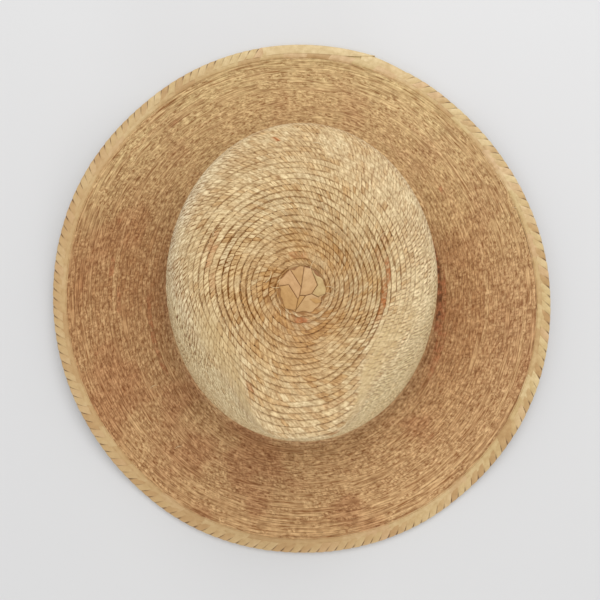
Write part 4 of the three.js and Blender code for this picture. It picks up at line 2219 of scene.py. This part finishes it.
    def flat_leaf(self) -> MeshParts:
        """One flat leaf of the inner half, a long strip with slanted ends, in metres.

        Returns:
            A closed shell: along the edge, in from it, and up.
        """
        half = self.band_length / 2
        width = self.band_outer - self.band_inner
        map_start, map_width = self.band_map
        rings = []
        uvs = []
        for share in np.linspace(0, 1, self.band_steps):
            out = self.band_inner + width * share
            arch = self.band_arch * float(smooth_step(np.array(share * self.band_arch_rate)))
            lean = self.band_slant * width * (share - 0.5)
            section = [(end * half - lean + shift, up + arch) for end, shift, up in self.band_section]
            rings.append([(along, -out, up) for along, up in section])
            uvs.append([(map_start + share * map_width, along / self.fold_width) for along, _ in section])
        return swept(np.array(rings) * MM, np.array(uvs))

    def stitch(self) -> MeshParts:
        """One stitch of the sewing line, a thread that dips at both ends.

        Returns:
            A closed shell in metres.
        """
        count = self.stitch_corners
        turn = np.linspace(0, math.tau, count, endpoint=False)
        across = self.thread_half * np.cos(turn)
        rings = []
        uvs = []
        for share in np.linspace(-1, 1, self.stitch_steps):
            along = np.full(count, self.stitch_half * share)
            up = self.stitch_rise - self.stitch_dip * share**4
            rings.append(np.column_stack([along, across, up + self.thread_half * np.sin(turn)]))
            uvs.append(np.column_stack([self.stitch_map + turn, along]))
        return swept(np.array(rings) * MM, np.array(uvs))

    def lapped_end(self, strip: LappedStrip) -> MeshParts:
        """One end of the plait, folded over the edge like the rest.

        Args:
            strip: Where it lies and how it is cut.

        Returns:
            A closed shell in metres.
        """
        angle = np.radians(np.linspace(strip.first, strip.last, self.lap_steps))
        taper = np.linspace(0, 1, self.lap_steps)
        inner = strip.inner + strip.inner_move * taper**strip.inner_power
        nose = strip.nose + strip.nose_move * taper**strip.nose_power
        width_share, height_share = self.lap_inside
        map_first, map_last, map_length = self.lap_map
        rings = []
        uvs = []
        for bearing, start, end, share in zip(angle, inner, nose, taper, strict=True):
            shoulder = max(end - self.lap_shoulder, 0.5 * (start + end))
            inward = (start, 0.5 * (start + shoulder), shoulder, 0.5 * (shoulder + end))
            outer = np.column_stack([(*inward, end, *inward[::-1]), self.lap_heights])
            outer[: self.lap_dropped, 1] -= strip.drop
            inside = outer[::-1] * np.array([1.0, height_share])
            inside[:, 0] = start + (inside[:, 0] - start) * width_share
            loop = np.concatenate([outer, inside])
            count = len(loop)
            rings.append(self.form.edge_points(np.full(count, bearing), loop[:, 0], loop[:, 1]))
            around = np.linspace(map_first, map_last, count)
            uvs.append(np.column_stack([around, np.full(count, share * map_length)]))
        return swept(np.array(rings), np.array(uvs)).toned(self.lap_tone)

    def path(self, out: float, up: float, first: float, last: float, steps: int = 720) -> Array:
        """A path beside the edge, between two bearings in degrees, as points in metres."""
        angle = np.radians(np.linspace(first, last, steps + 1))
        return self.form.edge_points(angle, np.full_like(angle, out), np.full_like(angle, up))

    def build(self, plait: Material, thread: Material) -> None:
        """Folds, lays and sews the plait.

        Args:
            plait: Finish of the leaves.
            thread: Finish of the stitches.
        """
        settle(self.build_ring(plait), "edge_plait", "brim_binding")
        for strip in self.laps:
            end = make_object(strip.name, self.lapped_end(strip), self.crease)
            end.data.materials.append(plait)
            settle(end, "edge_plait")
        girth = math.tau * float(np.mean(self.form.edge_reaches))
        arc = self.path(0.0, 0.0, self.folds_from, 360.0 + self.folds_to)
        folds = round(girth * (1 + (self.folds_to - self.folds_from) / 360) / self.fold_pitch)
        whole = self.path(0.0, 0.0, 0.0, 360.0)
        flats = round(girth / self.band_pitch)
        sewing = self.path(self.band_inner + self.sewing_in, self.sewing_up, 0.0, 360.0)
        stitches = round(girth / self.stitch_pitch)
        for name, path, copy, count, spread, seed, finish in (
            ("binding_folds", arc, self.folded_leaf(), folds, self.fold_spread, self.fold_seed, plait),
            ("binding_band", whole, self.flat_leaf(), flats, self.band_spread, self.band_seed, plait),
            (
                "binding_stitches", sewing, self.stitch(), stitches,
                self.stitch_spread, self.stitch_seed, thread,
            ),
        ):
            values = {"Count": count, "Spread": spread, "Seed": seed, "Finish": finish}
            guide = line_mesh(f"{name}_path", path, False)
            settle(self.scatter.lay(name, guide, copy, self.crease, values), "edge_plait")


@dataclass
class LooseFibres:
    """Fine fibres that have come loose from the braid, in millimetres.

    fullness is how many times half_width a fibre measures in the middle of its length, and
    sheet_around and sheet_along are the strides of the mesh that carries them.
    """

    scatter: SurfaceScatter
    finish: Material
    length: float = 5.5
    half_width: float = 0.11
    lift: float = 0.3
    arch: float = 0.45
    bow: float = 0.9
    spread: float = 0.6
    fullness: float = 1.15
    steps: int = 7
    corner_map: float = 0.3
    sheet_around: int = 5
    sheet_along: int = 4
    crease: float = 60.0

    def fibre(self) -> MeshParts:
        """One bowed fibre that tapers to both ends.

        Returns:
            A closed shell in metres.
        """
        sides = np.array([(0.0, -1.0, 0.0), (0.0, 0.0, 1.0), (0.0, 1.0, 0.0), (0.0, 0.0, -1.0)])
        count = len(sides)
        rings = []
        uvs = []
        for share in np.linspace(-1, 1, self.steps):
            half = self.half_width * (self.fullness - share**4)
            up = self.lift - self.arch * share**4
            middle = np.array([0.5 * self.length * share, self.bow * share**2, up])
            rings.append(middle + sides * half)
            uvs.append(np.column_stack([np.arange(count) * self.corner_map, np.full(count, share)]))
        return swept(np.array(rings) * MM, np.array(uvs))

    def build(
        self, name: str, skin: Skin, slot: str, density: float, seed: int, reach: float = 1.0
    ) -> Piece:
        """Strews the fibres over a skin.

        Args:
            name: The piece's name.
            skin: The surface they lie on.
            slot: The material slot of that surface.
            density: How many there are to a square metre.
            seed: Seed of their places, sizes and tones.
            reach: Share of the way out that they cover.

        Returns:
            The fibres as one piece.
        """
        sheet = skin.sheet(f"{name}_sheet", self.sheet_around, self.sheet_along, reach)
        values = {"Density": density, "Spread": self.spread, "Seed": seed, "Finish": self.finish}
        piece = self.scatter.lay(name, sheet, self.fibre(), self.crease, values)
        settle(piece, slot)
        return piece


@dataclass(frozen=True)
class Lamp:
    """A soft round lamp that faces the hat: where it hangs, how wide it is and how strong."""

    name: str
    place: Triple
    size: float
    power: float

    def hang(self, target: Triple) -> None:
        """Hangs the lamp.

        Args:
            target: The place that it faces.
        """
        lamp = bpy.data.lights.new(self.name, "AREA")
        lamp.shape = "DISK"
        lamp.size = self.size
        lamp.energy = self.power
        made = put_in_scene(self.name, lamp)
        made.location = self.place
        away = np.array(self.place) - np.array(target)
        flat = math.hypot(away[0], away[1])
        made.rotation_euler = (math.atan2(flat, away[2]), 0.0, math.atan2(away[1], away[0]) + math.pi / 2)


@dataclass(frozen=True)
class Studio:
    """A plain pale floor, soft light and the camera above the hat, in metres."""

    floor_half: float = 4.0
    floor_tone: Colour = tone(215, 215, 216)
    cloud_tone: Colour = tone(214, 214, 214)
    cloud_scale: float = 3.0
    floor_roughness: float = 0.9
    floor_gloss: float = 0.1
    target: Triple = (-0.0011, -0.0027, 0.0)
    distance: float = 0.52
    tilt: float = 2.0
    focal_pixels: float = 758.0
    frame_pixels: float = 600.0
    sensor: float = 36.0
    nearest: float = 0.01
    lamps: tuple[Lamp, ...] = (
        Lamp("key", (0.18, 0.75, 1.05), 0.8, 6.1),
        Lamp("fill", (0.5, -2.2, 0.8), 0.7, 7.6),
    )
    sky: float = 0.83

    def floor(self) -> None:
        """Lays the floor."""
        half = self.floor_half
        mesh = bpy.data.meshes.new("floor")
        corners = [(-half, -half, 0), (half, -half, 0), (half, half, 0), (-half, half, 0)]
        mesh.from_pydata(corners, [], [(0, 1, 2, 3)])
        bench = MaterialBench("floor")
        place = bench.add("ShaderNodeTexCoord").outputs["Object"]
        cloud = bench.noise(place, self.cloud_scale)
        bench.wire(bench.shader, {"Base Color": bench.mix(cloud, self.floor_tone, self.cloud_tone)})
        bench.shader.inputs["Roughness"].default_value = self.floor_roughness
        bench.shader.inputs["Specular IOR Level"].default_value = self.floor_gloss
        mesh.materials.append(bench.material)
        put_in_scene("floor", mesh)

    def light(self) -> None:
        """Hangs a soft lamp towards the back and one farther off in front, and lights the room evenly."""
        for lamp in self.lamps:
            lamp.hang(self.target)
        world = bpy.data.worlds.new("room")
        world.use_nodes = True
        back = world.node_tree.nodes["Background"]
        back.inputs["Color"].default_value = (1.0, 1.0, 1.0, 1.0)
        back.inputs["Strength"].default_value = self.sky
        bpy.context.scene.world = world

    def camera(self) -> None:
        """Places the camera above the hat, tipped a little towards its front."""
        lens = bpy.data.cameras.new("camera")
        lens.sensor_width = self.sensor
        lens.lens = self.sensor * self.focal_pixels / self.frame_pixels
        lens.clip_start = self.nearest
        made = put_in_scene("camera", lens)
        lean = math.radians(self.tilt)
        made.location = (
            self.target[0],
            self.target[1] - self.distance * math.sin(lean),
            self.target[2] + self.distance * math.cos(lean),
        )
        made.rotation_euler = (lean, 0.0, 0.0)
        bpy.context.scene.camera = made

    def build(self) -> None:
        """Sets up the floor, the light and the camera."""
        self.floor()
        self.light()
        self.camera()
        bpy.context.scene.view_settings.view_transform = "Standard"


def main() -> None:
    """Builds the hat piece by piece and logs the number of faces of each piece."""
    logging.basicConfig(level=logging.INFO, format="%(name)s: %(message)s")
    form = HatForm()
    effects = StrawEffects()
    Studio().build()
    crown_skin = Skin(form.crown_lines)
    brim_skin = Skin(form.brim_lines)
    Crown(crown_skin).build(PALE_BRAID.material(effects))
    CrownButton(form).build(SMOOTH_LEAF.material(effects))
    Brim(brim_skin).build(TOASTED_BRAID.material(effects))
    binding = BrimBinding(form, PathScatter(), PathSweep())
    binding.build(EDGE_PLAIT.material(effects), SEWING_THREAD.material(effects))
    fibres = LooseFibres(SurfaceScatter(), LOOSE_FIBRE.material(effects))
    fibres.build("crown_fibres", crown_skin, "pale_braid", density=350.0, seed=4)
    fibres.build("start_fibres", crown_skin, "pale_braid", density=20000.0, seed=6, reach=0.05)
    fibres.build("brim_fibres", brim_skin, "toasted_braid", density=250.0, seed=9)


if __name__ == "__main__":
    main()
